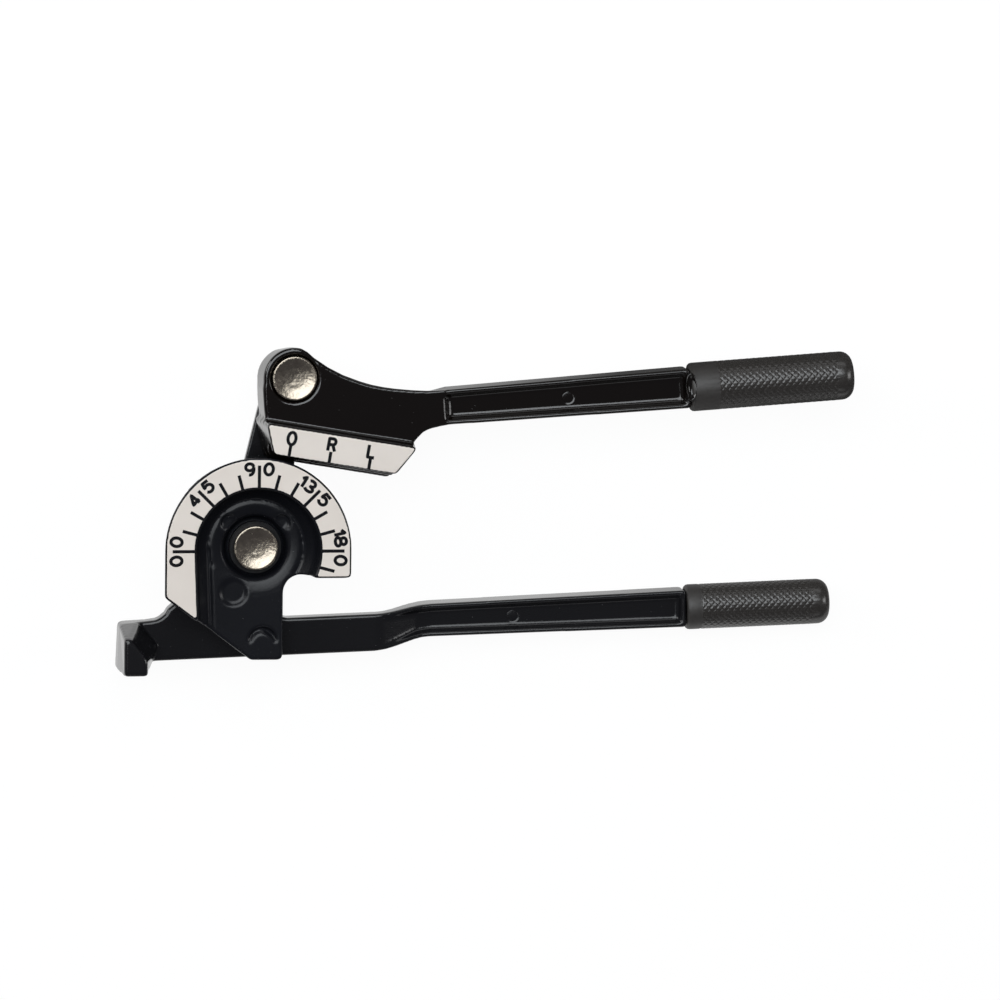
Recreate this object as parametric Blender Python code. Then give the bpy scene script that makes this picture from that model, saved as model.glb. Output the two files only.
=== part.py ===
# Lever tube bender for 6, 8 and 10 mm tube, lying on its back.
# The origin is on the form's pivot axis, at the back face of the pin's tail.
# +X runs along the handles to the grips, +Y to the upper handle, +Z to the scale.

import math

import bmesh
import bpy
from mathutils import Matrix, Vector

# Shared fits and counts
FIT = 0.0003
OVERRUN = 0.003
MERGE_DISTANCE = 0.00001
ROUND_STEPS = 36
ARC_STEPS = 44
GROOVE_STEPS = 7

# Tubes that the tool bends, from the scale face backwards
TUBE_SIZES = (0.010, 0.008, 0.006)
TUBE_CLEARANCE = 0.0002

# Bending form
FORM_BACK = 0.010
FORM_FRONT = 0.040
RING_RADIUS = 0.043
RING_INNER_RADIUS = 0.029
FLANGE_STEP = 0.002
FRONT_FLANGE = 0.0022
GROOVE_WALL = 0.0012
LEFT_RUN = 0.0213
RIGHT_RUN = 0.0126
LEG_RIGHT = 0.013
RUN_CORNER = 0.0018
LEG_BOTTOM = -0.0522
LEG_TOE_LEFT = -0.0017
LEG_CORNER = 0.002
LEG_FILLET = 0.0085
LEG_FACE = 0.026
PAD_LEAN = 0.04
PAD_TIP = -0.0312
PAD_TIP_CUT = 0.0016
LEG_STEP_WIDTH = 0.0008
POCKET_WALL_FOOT = 0.0272
POCKET_WALL_FLOOR = 0.0305
POCKET_FLOOR = 0.0250
POCKET_FLOOR_RADIUS = 0.0222
BOSS_RADIUS = 0.0205
BOSS_FRONT = 0.02596
BOSS_DISH_RADIUS = 0.0162
BOSS_DISH_FLOOR = 0.0253
SEAT_RIM_RADIUS = 0.0145
SEAT_RIM_FLOOR = 0.0243
SEAT_RADIUS = 0.0135
SEAT_FLOOR = 0.0207
EDGE_ROUND = 0.0006

# Cast marks on the form's front
MARK_DEPTH = 0.0011
EYE_MARK = (0.0122, 0.0115)
EYE_MARK_RADIUS = 0.0037
EYE_MARK_FLOOR = 0.0243
SEAT_MARK_RADIUS = 0.0062
TOE_MARK = (0.0037, -0.0434)
TOE_MARK_RADIUS = 0.0065
TOE_MARK_DEPTH = 0.0020
TOE_RAMP_SHIFT = 0.0021
TOE_RAMP_RADIUS = 0.00575
TOE_RAMP_DEPTH = 0.0003
EJECTOR_RADIUS = 0.0029
EJECTOR_DEPTH = 0.0004
UPPER_EJECTOR = 0.0559
LOWER_EJECTOR = 0.1228

# Rivets that hold the form on the web
RIVET_TOP = (-0.0099, -0.0206)
RIVET_BOTTOM = (0.0040, -0.0411)
RIVET_RADIUS = 0.0028
RIVET_HEAD_RADIUS = 0.0050
RIVET_RIM = 0.0005
RIVET_CONE = 0.0022
RIVET_LENGTH = 0.020

# Link arm and the two equal pivots
LINK_LENGTH = 0.080
LINK_FRONT = 0.008
LINK_THICKNESS = 0.0047
LINK_LOWER_RADIUS = 0.0122
LINK_UPPER_RADIUS = 0.0105
LINK_REST_ANGLE = math.radians(77.6)
LEAD_ANGLE = math.radians(3.1)
PIN_RADIUS = 0.005
PIN_HEAD_RADIUS = 0.0102
PIN_HEAD_TOP = 0.029
PIN_HEAD_THICKNESS = 0.0037
PIN_HEAD_ROUND = 0.0005
PIN_DISH_DEPTH = 0.0012
PIN_DISH_RADIUS = 0.0093
TAIL_RADIUS = 0.0070
TAIL_THICKNESS = 0.0016
TAIL_ROUND = 0.0005
TAIL_WASHER_RADIUS = 0.0095
THRUST_WASHER_RADIUS = 0.011
HEAD_WASHER_RADIUS = 0.012
BUSH_WALL = 0.0012

# Upper handle: head and pressure shoe, in a frame along the shoe
HEAD_LENGTH = 0.0725
HEAD_RADIUS = 0.0142
HEAD_FRONT = 0.028
COUNTERBORE_RADIUS = 0.0108
SHOE_GAP = 0.0018
SHOE_WIDTH = 0.0139
SHOE_LEFT = -0.0106
SHOE_RIGHT = 0.0600
SHOE_LEFT_SLOPE = 0.396
SHOE_RIGHT_SLOPE = 0.571
SHOE_DRAFT = 0.0028
SHOE_CORNER = 0.0020
HEAD_BACK_DROP = 0.0016
HEAD_BACK_SHIFT = 0.0012
HEAD_TOP_SHARES = (
    (0.060, 0.176), (0.102, 0.148), (0.199, 0.104), (0.301, 0.071), (0.403, 0.051),
    (0.486, 0.040), (0.568, 0.037), (0.650, 0.039), (0.760, 0.047), (0.865, 0.060),
)
HEAD_HEEL_SHARES = ((0.964, -0.156), (0.903, -0.182), (0.868, -0.207), (0.843, -0.243), (0.817, -0.286))
HEAD_NOSE_SHARES = ((-0.134, -0.301), (-0.159, -0.215), (-0.186, -0.098))

# Upper bar, in a frame along the bar that starts at its root
UPPER_BAR_ROOT = -0.0018
UPPER_BAR_ANGLE = math.radians(13.6)
UPPER_BAR_LENGTH = 0.1127
UPPER_BAR_HEIGHT = 0.0161
UPPER_BAR_END_HEIGHT = 0.0182
UPPER_BAR_FRONT = 0.0276
UPPER_BAR_BACK = 0.0121
UPPER_RAMP_START = 0.034
UPPER_RAMP_LENGTH = 0.030

# Lower handle: hook, web and bar
LOWER_BAR_DROP = -0.0443
LOWER_BAR_SLOPE = 0.039
LOWER_BAR_HEIGHT = 0.0173
LOWER_BAR_FRONT = 0.0097
LOWER_BAR_END = 0.204
LOWER_BAR_RIGHT_HEIGHT = 0.0152
LOWER_BAR_END_HEIGHT = 0.0172
JOGGLE_START = 0.058
JOGGLE_LENGTH = 0.026
JOGGLE_RISE = 0.0040
JOGGLE_STEPS = 6
JOGGLE_FRONT = 0.0051
JOGGLE_BACK = -0.0104
WEB_TOP = -0.0152
WEB_LEFT = -0.0385
WEB_RIGHT = 0.012
WEB_SHOULDER = 0.0167
WEB_KNEE = -0.0305
WEB_LEFT_SHARES = ((0, 0), (0.049, -0.10), (0.142, -0.175), (0.24, -0.228), (0.453, -0.254))
WEB_RISE_SHARE = 1.35
HOOK_LEFT = -0.061
HOOK_RIGHT = -0.0502
HOOK_TOP = -0.0406
HOOK_BOTTOM = -0.0579
HOOK_FRONT = 0.0378
HOOK_FRONT_SHARES = ((0, 0), (1, 0), (1, 0.376), (0.954, 0.462), (0.259, 1), (0, 1))
HOOK_FOOT_SHARES = ((-0.09, -0.04), (1.28, -0.04), (1.528, 0.364), (1.62, 0.60), (0.75, 1.24), (-0.01, 1.20))
HOOK_HEEL_SHARE = 1.25
HOOK_FOOT_HEIGHT = 0.0015

# I-section panels on both handles
RAIL_WIDTH = 0.0018
PANEL_SLOPE = 0.0018
PANEL_DEPTH = 0.0032
UPPER_PANEL_START = -0.002
UPPER_PANEL_LEAD = 0.003
LOWER_PANEL_START = 0.060
LOWER_PANEL_LEAD = 0.018
PANEL_END_GAP = 0.002

# Grips and the tangs inside them
TANG_RADIUS = 0.0055
GRIP_WALL_END = 0.012
UPPER_GRIP_RADIUS = 0.01125
UPPER_GRIP_LENGTH = 0.077
LOWER_GRIP_RADIUS = 0.0105
LOWER_GRIP_LENGTH = 0.068
GRIP_LIP = 0.0024
GRIP_LIP_ROUND = 0.0006
GRIP_COLLAR = 0.016
GRIP_COLLAR_DEPTH = 0.0005
GRIP_DOME = 0.0055

# Places that follow from the sizes above
TAIL_WASHER_BACK = TAIL_THICKNESS + FIT
LINK_BACK = LINK_FRONT - LINK_THICKNESS
TAIL_WASHER_FRONT = LINK_BACK - FIT
THRUST_WASHER_BACK = LINK_FRONT + FIT
THRUST_WASHER_FRONT = FORM_BACK - FIT
PIN_HEAD_BACK = PIN_HEAD_TOP - PIN_HEAD_THICKNESS
HEAD_SEAT = PIN_HEAD_BACK - FIT
BUSH_INNER = PIN_RADIUS + FIT
BUSH_OUTER = BUSH_INNER + BUSH_WALL
SHOE_FACE = LINK_LENGTH * math.cos(LEAD_ANGLE) - RING_RADIUS - SHOE_GAP
SHOE_REACH = LINK_LENGTH * math.cos(LEAD_ANGLE)
HEAD_ANGLE = LINK_REST_ANGLE + LEAD_ANGLE - math.radians(90)
JOGGLE_END = JOGGLE_START + JOGGLE_LENGTH


def clear_scene():
    for item in list(bpy.data.objects):
        bpy.data.objects.remove(item, do_unlink=True)


def finish(name, colour, metallic, roughness):
    material = bpy.data.materials.new(name)
    material.use_nodes = True
    shader = material.node_tree.nodes["Principled BSDF"]
    shader.inputs["Base Color"].default_value = (*colour, 1.0)
    shader.inputs["Metallic"].default_value = metallic
    shader.inputs["Roughness"].default_value = roughness
    return material


def pivot(name, parent, location, turn):
    # An empty on a joint's axis, which carries what turns there
    empty = bpy.data.objects.new(name, None)
    bpy.context.scene.collection.objects.link(empty)
    empty.parent = parent
    empty.location = location
    empty.rotation_euler = (0, 0, turn)
    return empty


def add_object(name, shape, parent=None, location=(0, 0, 0), rotation=(0, 0, 0)):
    mesh = bpy.data.meshes.new(name)
    shape.to_mesh(mesh)
    shape.free()
    item = bpy.data.objects.new(name, mesh)
    bpy.context.scene.collection.objects.link(item)
    item.parent = parent
    item.location = location
    item.rotation_euler = rotation
    return item


def add_piece(name, shape, material, parent=None, location=(0, 0, 0), rotation=(0, 0, 0)):
    item = add_object(name, shape, parent, location, rotation)
    item.data.materials.append(material)
    item.data.shade_smooth()
    item.data.set_sharp_from_angle(angle=math.radians(32))
    return item


def shape_with(target, shape, operation):
    # Cuts, joins or trims a piece with a hidden guide in the piece's own frame
    count = len(target.modifiers)
    guide = add_object(f"{target.name}_guide_{count}", shape, target)
    guide.hide_render = True
    guide.display_type = "WIRE"
    modifier = target.modifiers.new(f"shape_{count}", "BOOLEAN")
    modifier.operation = operation
    modifier.solver = "EXACT"
    modifier.object = guide


def arc(centre, radius, start, end, steps):
    angles = [start + (end - start) * step / steps for step in range(steps + 1)]
    return [(centre[0] + radius * math.cos(a), centre[1] + radius * math.sin(a)) for a in angles]


def slab(outline, back, front):
    # A flat outline extruded along Z
    shape = bmesh.new()
    corners = [shape.verts.new((x, y, back)) for x, y in outline]
    face = shape.faces.new(corners)
    grown = bmesh.ops.extrude_face_region(shape, geom=[face])
    lifted = [item for item in grown["geom"] if isinstance(item, bmesh.types.BMVert)]
    bmesh.ops.translate(shape, verts=lifted, vec=(0, 0, front - back))
    bmesh.ops.recalc_face_normals(shape, faces=shape.faces[:])
    return shape


def loft(rings):
    # Skins equal rings of points one after another and closes both ends
    shape = bmesh.new()
    loops = [[shape.verts.new(point) for point in ring] for ring in rings]
    for first, second in zip(loops, loops[1:]):
        for index in range(len(first)):
            following = (index + 1) % len(first)
            shape.faces.new((first[index], first[following], second[following], second[index]))
    shape.faces.new(loops[0])
    shape.faces.new(loops[-1])
    bmesh.ops.recalc_face_normals(shape, faces=shape.faces[:])
    return shape


def turned(profile, closed=True, steps=ROUND_STEPS):
    # Turns (radius, height) points about Z; an open profile starts and ends on the axis
    shape = bmesh.new()
    points = [shape.verts.new((radius, 0, height)) for radius, height in profile]
    pairs = list(zip(points, points[1:]))
    if closed:
        pairs.append((points[-1], points[0]))
    edges = [shape.edges.new(pair) for pair in pairs]
    bmesh.ops.spin(
        shape, geom=points + edges, cent=(0, 0, 0), axis=(0, 0, 1),
        angle=math.tau, steps=steps, use_merge=True,
    )
    bmesh.ops.remove_doubles(shape, verts=shape.verts[:], dist=MERGE_DISTANCE)
    bmesh.ops.recalc_face_normals(shape, faces=shape.faces[:])
    return shape


def disc_cutter(centre, radius, back, front, steps=ROUND_STEPS):
    shape = turned([(0, back), (radius, back), (radius, front), (0, front)], False, steps)
    bmesh.ops.translate(shape, verts=shape.verts[:], vec=(*centre, 0))
    return shape


def washer(inner, outer, back, front):
    return turned([(inner, back), (outer, back), (outer, front), (inner, front)])


def blend(start, end, share):
    return start + (end - start) * share


def set_depths(shape, places, depths):
    # Splits a slab across X and moves its faces to the back and front given for each place
    for place in places:
        everything = shape.verts[:] + shape.edges[:] + shape.faces[:]
        bmesh.ops.bisect_plane(shape, geom=everything, plane_co=(place, 0, 0), plane_no=(1, 0, 0))
    middle = sum(vertex.co.z for vertex in shape.verts) / len(shape.verts)
    for vertex in shape.verts:
        back, front = depths(vertex.co.x)
        vertex.co.z = front if vertex.co.z > middle else back


def tube_radius(size):
    return (size + TUBE_CLEARANCE) / 2


def groove_rows():
    # Each groove as (tube radius, centre height, front crest drop, back crest drop)
    rows = []
    height = FORM_FRONT - FRONT_FLANGE
    last = len(TUBE_SIZES) - 1
    for index, size in enumerate(TUBE_SIZES):
        radius = tube_radius(size)
        height -= radius
        rows.append((radius, height, index * FLANGE_STEP, min(index + 1, last) * FLANGE_STEP))
        height -= radius + GROOVE_WALL
    return rows


def groove_points(side):
    # Distance from the form's axis and height, along all grooves.
    # The side is -1 on the form, whose grooves sink inwards, and 1 on the shoe.
    crest = RING_RADIUS if side < 0 else RING_RADIUS + SHOE_GAP
    points = []
    for radius, height, front_drop, back_drop in groove_rows():
        centre = RING_RADIUS - (front_drop + back_drop) / 2 + SHOE_GAP / 2
        front = crest - front_drop
        back = crest - back_drop
        start = math.asin(max(side * (front - centre), 0) / radius)
        end = math.pi - math.asin(max(side * (back - centre), 0) / radius)
        if start == 0:
            points.append((front, height + radius))
        for step in range(GROOVE_STEPS + 1):
            angle = start + (end - start) * step / GROOVE_STEPS
            points.append((centre + side * radius * math.sin(angle), height + radius * math.cos(angle)))
        if end == math.pi:
            points.append((back, height - radius))
    return points


def form_outline():
    top = arc((0, 0), RING_RADIUS, math.pi, 0, ARC_STEPS)
    fillet_centre = (LEG_RIGHT + LEG_FILLET, -RIGHT_RUN - LEG_FILLET)
    fillet = arc(fillet_centre, LEG_FILLET, math.radians(90), math.pi, 6)
    toe_centre = (LEG_RIGHT - LEG_CORNER, LEG_BOTTOM + LEG_CORNER)
    toe = arc(toe_centre, LEG_CORNER, 0, math.radians(-90), 4)
    run_centre = (RING_RADIUS - RUN_CORNER, RUN_CORNER - RIGHT_RUN)
    run_end = arc(run_centre, RUN_CORNER, 0, math.radians(-90), 4)
    ends = [(LEG_TOE_LEFT, LEG_BOTTOM), (-RING_RADIUS, -LEFT_RUN)]
    return top + run_end + fillet + toe + ends


def groove_cutter():
    # The negative of the stepped grooves, swept up the left side, round and down the right
    outside = RING_RADIUS + OVERRUN
    points = groove_points(-1)
    section = [(outside, points[0][1])] + points[1:]
    section += [(points[-1][0], FORM_BACK - OVERRUN), (outside, FORM_BACK - OVERRUN)]
    left_end = LEG_BOTTOM
    rings = [[(-distance, left_end, height) for distance, height in section]]
    for step in range(ARC_STEPS + 1):
        angle = math.pi * (1 - step / ARC_STEPS)
        rings.append([(d * math.cos(angle), d * math.sin(angle), height) for d, height in section])
    rings.append([(distance, -RIGHT_RUN - OVERRUN, height) for distance, height in section])
    return loft(rings)


def pocket_cutter():
    # The dished pocket inside the ring, round the boss and its seat.
    # Its floor rises where the leg crosses it.
    over = FORM_FRONT + OVERRUN
    profile = [
        (0, SEAT_FLOOR), (SEAT_RADIUS, SEAT_FLOOR), (SEAT_RIM_RADIUS, SEAT_RIM_FLOOR),
        (BOSS_DISH_RADIUS, BOSS_DISH_FLOOR), (BOSS_RADIUS, BOSS_FRONT),
        (POCKET_FLOOR_RADIUS, POCKET_FLOOR), (POCKET_WALL_FOOT, POCKET_WALL_FLOOR),
        (RING_INNER_RADIUS - EDGE_ROUND, FORM_FRONT - EDGE_ROUND),
        (RING_INNER_RADIUS + OVERRUN, over), (0, over),
    ]
    shape = turned(profile, False, 2 * ARC_STEPS)
    for vertex in shape.verts:
        beside_leg = vertex.co.y < 0 and -BOSS_RADIUS < vertex.co.x < 0
        on_leg = beside_leg or vertex.co.y < -RIGHT_RUN
        if on_leg and abs(vertex.co.z - POCKET_FLOOR) < MERGE_DISTANCE:
            vertex.co.z = BOSS_FRONT
    return shape


def channel_cutter():
    # Carries the pocket's wall on down between the scale pad and the leg
    over = FORM_FRONT + OVERRUN
    section = [
        (-RING_INNER_RADIUS - OVERRUN, over), (EDGE_ROUND - RING_INNER_RADIUS, FORM_FRONT - EDGE_ROUND),
        (-POCKET_WALL_FOOT, POCKET_WALL_FLOOR), (-POCKET_FLOOR_RADIUS, POCKET_FLOOR),
        (-BOSS_RADIUS - LEG_STEP_WIDTH, POCKET_FLOOR), (-BOSS_RADIUS, LEG_FACE), (-BOSS_DISH_RADIUS, LEG_FACE),
        (-BOSS_DISH_RADIUS, over),
    ]
    rings = []
    for y, cut in ((0, 0), (PAD_TIP, 0), (PAD_TIP - PAD_TIP_CUT, PAD_TIP_CUT), (LEG_BOTTOM - OVERRUN, OVERRUN)):
        shifts = [-PAD_LEAN * y - (cut if index < 2 else 0) for index in range(len(section))]
        rings.append([(x + shift, y, height) for (x, height), shift in zip(section, shifts)])
    return loft(rings)


def leg_relief():
    # Clears what stands above the leg's face
    right = LEG_RIGHT + LEG_FILLET + OVERRUN
    low = LEG_BOTTOM - OVERRUN
    left = -BOSS_DISH_RADIUS - LEG_STEP_WIDTH
    outline = [(left, low), (right, low), (right, -RIGHT_RUN - OVERRUN), (0, -BOSS_RADIUS), (left, -RIGHT_RUN)]
    return slab(outline, LEG_FACE, FORM_FRONT + OVERRUN)


def toe_mark_cutter():
    # A crescent recess that is deep along its upper edge and runs out below
    lower = (TOE_MARK[0], TOE_MARK[1] - TOE_RAMP_SHIFT)
    outer = arc(TOE_MARK, TOE_MARK_RADIUS, math.radians(-2), math.radians(182), 14)
    inner = arc(lower, TOE_RAMP_RADIUS, math.radians(170), math.radians(10), 14)
    shape = slab(outer + inner, LEG_FACE - TOE_MARK_DEPTH, LEG_FACE + OVERRUN)
    for vertex in shape.verts:
        away = math.dist(vertex.co.xy, lower)
        if vertex.co.z < LEG_FACE and away < TOE_RAMP_RADIUS + MERGE_DISTANCE:
            vertex.co.z = LEG_FACE - TOE_RAMP_DEPTH
    return shape


def rivet_profile(growth, length):
    radius = RIVET_RADIUS + growth
    head = RIVET_HEAD_RADIUS + growth
    neck = RIVET_RIM + RIVET_CONE
    return [(0, -growth), (head, -growth), (head, RIVET_RIM), (radius, neck), (radius, length), (0, length)]


def moved(shape, vector):
    bmesh.ops.translate(shape, verts=shape.verts[:], vec=vector)
    return shape


def make_form(enamel):
    form = add_piece("bend_form", slab(form_outline(), FORM_BACK, FORM_FRONT), enamel)
    shape_with(form, pocket_cutter(), "DIFFERENCE")
    shape_with(form, channel_cutter(), "DIFFERENCE")
    shape_with(form, leg_relief(), "DIFFERENCE")
    shape_with(form, groove_cutter(), "DIFFERENCE")
    bore = disc_cutter((0, 0), PIN_RADIUS + FIT, FORM_BACK - OVERRUN, FORM_FRONT)
    shape_with(form, bore, "DIFFERENCE")
    for place in (RIVET_TOP, RIVET_BOTTOM):
        hole = disc_cutter(place, RIVET_RADIUS + FIT, FORM_BACK - OVERRUN, RIVET_LENGTH + FIT)
        shape_with(form, hole, "DIFFERENCE")
    over = LEG_FACE + OVERRUN
    shape_with(form, disc_cutter(RIVET_TOP, SEAT_MARK_RADIUS, LEG_FACE - MARK_DEPTH, over), "DIFFERENCE")
    shape_with(form, toe_mark_cutter(), "DIFFERENCE")
    for side in (-1, 1):
        place = (side * EYE_MARK[0], EYE_MARK[1])
        shape_with(form, disc_cutter(place, EYE_MARK_RADIUS, EYE_MARK_FLOOR, over), "DIFFERENCE")
    return form


def make_rivets(steel):
    # Countersunk heads flush with the web's back
    for name, place in (("form_rivet_top", RIVET_TOP), ("form_rivet_bottom", RIVET_BOTTOM)):
        shape = turned(rivet_profile(0, RIVET_LENGTH), False, ROUND_STEPS // 2)
        add_piece(name, shape, steel, None, (*place, 0))


def bar_y(x, rise=0):
    # Centre line of the lower bar
    return LOWER_BAR_DROP + LOWER_BAR_SLOPE * x + rise


def joggle_share(x):
    share = min(max((x - JOGGLE_START) / JOGGLE_LENGTH, 0), 1)
    return share * share * (3 - 2 * share)


def lower_half_height(x):
    # Half the bar's height: constant on the left, growing slowly past the joggle
    if x <= JOGGLE_END:
        return blend(LOWER_BAR_HEIGHT, LOWER_BAR_RIGHT_HEIGHT, joggle_share(x)) / 2
    along = (x - JOGGLE_END) / (LOWER_BAR_END - JOGGLE_END)
    return blend(LOWER_BAR_RIGHT_HEIGHT, LOWER_BAR_END_HEIGHT, along) / 2


def lower_edge(x, side):
    return (x, bar_y(x, JOGGLE_RISE * joggle_share(x)) + side * lower_half_height(x))


def lower_end(side):
    # A corner of the bar's end, which is square to the bar
    half = side * LOWER_BAR_END_HEIGHT / 2
    return (LOWER_BAR_END - half * LOWER_BAR_SLOPE, bar_y(LOWER_BAR_END, JOGGLE_RISE) + half)


def joggle_places():
    return [JOGGLE_START + JOGGLE_LENGTH * step / JOGGLE_STEPS for step in range(JOGGLE_STEPS + 1)]


def lower_outline():
    top = [lower_edge(x, 1) for x in [WEB_SHOULDER] + joggle_places()] + [lower_end(1)]
    bottom = [lower_end(-1)] + [lower_edge(x, -1) for x in reversed(joggle_places())]
    heel = lower_edge(blend(HOOK_LEFT, HOOK_RIGHT, HOOK_HEEL_SHARE), -1)
    span = WEB_LEFT - HOOK_LEFT
    web_left = [(WEB_LEFT - x * span, WEB_KNEE + y * span) for x, y in WEB_LEFT_SHARES]
    foot = hook_ring(0, HOOK_FOOT_SHARES)
    hook_back = [(x, y) for x, y, height in (foot[0], foot[-1])]
    web_top = [(WEB_LEFT / 2, WEB_TOP), (WEB_RIGHT / 2, WEB_TOP), (WEB_RIGHT, WEB_TOP * WEB_RISE_SHARE)]
    web_foot = [(WEB_RIGHT, LOWER_BAR_DROP + LOWER_BAR_HEIGHT / 2 + LEG_CORNER)]
    return web_top + web_foot + top + bottom + [heel, (heel[0], foot[0][1])] + hook_back + web_left[::-1]


def lower_depths(x):
    share = joggle_share(x)
    return blend(0, JOGGLE_BACK, share), blend(LOWER_BAR_FRONT, JOGGLE_FRONT, share)


def hook_ring(height, shares):
    # The hook's plan at a height, from shares of its width and height in front
    return [(blend(HOOK_LEFT, HOOK_RIGHT, x), blend(HOOK_BOTTOM, HOOK_TOP, y), height) for x, y in shares]


def hook_block():
    # The slanted inner face leads each tube size to its own groove
    foot = LOWER_BAR_FRONT + HOOK_FOOT_HEIGHT
    rings = [
        hook_ring(0, HOOK_FOOT_SHARES), hook_ring(foot, HOOK_FOOT_SHARES),
        hook_ring(HOOK_FRONT - EDGE_ROUND, HOOK_FRONT_SHARES),
    ]
    crown = [Vector(point) for point in hook_ring(HOOK_FRONT, HOOK_FRONT_SHARES)]
    centre = sum(crown, Vector()) / len(crown)
    rings.append([point + (centre - point).normalized() * EDGE_ROUND for point in crown])
    for point in rings[-1]:
        point.z = HOOK_FRONT
    return loft(rings)


def panel_cutter(stations, side):
    # Stations are (x, centre y, half height, face height, depth); side is 1 in front, -1 behind
    rings = []
    for x, centre, half, face, depth in stations:
        outer = half - RAIL_WIDTH
        inner = outer - PANEL_SLOPE * depth / PANEL_DEPTH
        over = OVERRUN
        spread = PANEL_SLOPE * over / PANEL_DEPTH
        rings.append([
            (x, centre - outer - spread, face + side * over), (x, centre + outer + spread, face + side * over),
            (x, centre + inner, face - side * depth), (x, centre - inner, face - side * depth),
        ])
    return loft(rings)


def lower_panel(side):
    stop = LOWER_BAR_END - PANEL_END_GAP
    middle = LOWER_PANEL_START + LOWER_PANEL_LEAD
    places = [LOWER_PANEL_START] + [x for x in joggle_places() if LOWER_PANEL_START < x < middle]
    places += [middle, JOGGLE_END, stop - PANEL_SLOPE, stop]
    stations = []
    for x in places:
        back, front = lower_depths(x)
        lead = min((x - LOWER_PANEL_START) / LOWER_PANEL_LEAD, (stop - x) / PANEL_SLOPE, 1)
        centre = bar_y(x, JOGGLE_RISE * joggle_share(x))
        stations.append((x, centre, lower_half_height(x), front if side > 0 else back, PANEL_DEPTH * lead))
    return panel_cutter(stations, side)


def tang(length, root_depth):
    # The round stem that the grip is pushed on, along X from inside the bar's end
    return turned([(0, -root_depth), (TANG_RADIUS, -root_depth), (TANG_RADIUS, length), (0, length)], False, 20)


def laid_along(shape, angle, place):
    # Lays a shape that is turned about Z along a bar
    turn = Matrix.Rotation(angle, 4, "Z") @ Matrix.Rotation(math.radians(90), 4, "Y")
    bmesh.ops.transform(shape, matrix=Matrix.Translation(place) @ turn, verts=shape.verts[:])
    return shape


def tang_length(grip_length):
    return grip_length - GRIP_WALL_END


def lower_bar_end():
    back, front = lower_depths(LOWER_BAR_END)
    return Vector((LOWER_BAR_END, bar_y(LOWER_BAR_END, JOGGLE_RISE), (back + front) / 2))


def make_lower_handle(enamel):
    shape = slab(lower_outline(), 0, LOWER_BAR_FRONT)
    set_depths(shape, joggle_places(), lower_depths)
    handle = add_piece("lower_handle", shape, enamel)
    shape_with(handle, hook_block(), "UNION")
    stem = tang(tang_length(LOWER_GRIP_LENGTH), PANEL_END_GAP / 2)
    shape_with(handle, laid_along(stem, math.atan(LOWER_BAR_SLOPE), lower_bar_end()), "UNION")
    shape_with(handle, lower_panel(1), "DIFFERENCE")
    shape_with(handle, lower_panel(-1), "DIFFERENCE")
    place = (LOWER_EJECTOR, bar_y(LOWER_EJECTOR, JOGGLE_RISE))
    floor = JOGGLE_FRONT - PANEL_DEPTH
    mark = disc_cutter(place, EJECTOR_RADIUS, floor - EJECTOR_DEPTH, JOGGLE_FRONT)
    shape_with(handle, mark, "DIFFERENCE")
    for place in (RIVET_TOP, RIVET_BOTTOM):
        profile = rivet_profile(FIT, LOWER_BAR_FRONT + OVERRUN)
        profile[0] = (0, -OVERRUN)
        profile[1] = (profile[1][0], -OVERRUN)
        hole = moved(turned(profile, False, ROUND_STEPS // 2), (*place, 0))
        shape_with(handle, hole, "DIFFERENCE")
    return handle


def link_outline():
    # Two round ends joined by their common tangents
    lean = math.asin((LINK_LOWER_RADIUS - LINK_UPPER_RADIUS) / LINK_LENGTH)
    side = math.radians(90) - lean
    lower = arc((0, 0), LINK_LOWER_RADIUS, side, math.tau - side, ROUND_STEPS // 2)
    upper = arc((LINK_LENGTH, 0), LINK_UPPER_RADIUS, -side, side, ROUND_STEPS // 2)
    return lower + upper


def make_link(steel, bronze, link_axis):
    arm = add_piece("link_arm", slab(link_outline(), LINK_BACK, LINK_FRONT), steel, link_axis)
    back = LINK_BACK - OVERRUN
    front = LINK_FRONT + OVERRUN
    shape_with(arm, disc_cutter((0, 0), BUSH_OUTER + FIT, back, front), "DIFFERENCE")
    shape_with(arm, disc_cutter((LINK_LENGTH, 0), PIN_RADIUS + FIT, back, front), "DIFFERENCE")
    bush = washer(BUSH_INNER, BUSH_OUTER, LINK_BACK, LINK_FRONT)
    add_piece("link_bush", bush, bronze, link_axis)


def pin_shape():
    # A dished head in front, a plain shank, and a tail riveted over at the back
    rim = PIN_HEAD_RADIUS - PIN_HEAD_ROUND
    profile = [
        (0, 0), (TAIL_RADIUS - TAIL_ROUND, 0), (TAIL_RADIUS, TAIL_ROUND), (TAIL_RADIUS, TAIL_THICKNESS),
        (PIN_RADIUS, TAIL_THICKNESS), (PIN_RADIUS, PIN_HEAD_BACK), (PIN_HEAD_RADIUS, PIN_HEAD_BACK),
    ]
    corner = arc((rim, PIN_HEAD_TOP - PIN_HEAD_ROUND), PIN_HEAD_ROUND, 0, math.radians(90), 3)
    dish = []
    for step in range(5):
        share = 1 - step / 4
        dish.append((PIN_DISH_RADIUS * share, PIN_HEAD_TOP - PIN_DISH_DEPTH * (1 - share * share)))
    return turned(profile + corner + dish, False)


def make_pivot(prefix, steel, black, parent, place):
    add_piece(f"{prefix}_pivot_pin", pin_shape(), steel, parent, place)
    tail = washer(BUSH_INNER, TAIL_WASHER_RADIUS, TAIL_WASHER_BACK, TAIL_WASHER_FRONT)
    add_piece(f"{prefix}_tail_washer", tail, steel, parent, place)
    thrust = washer(BUSH_INNER, THRUST_WASHER_RADIUS, THRUST_WASHER_BACK, THRUST_WASHER_FRONT)
    add_piece(f"{prefix}_thrust_washer", thrust, black, parent, place)


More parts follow.
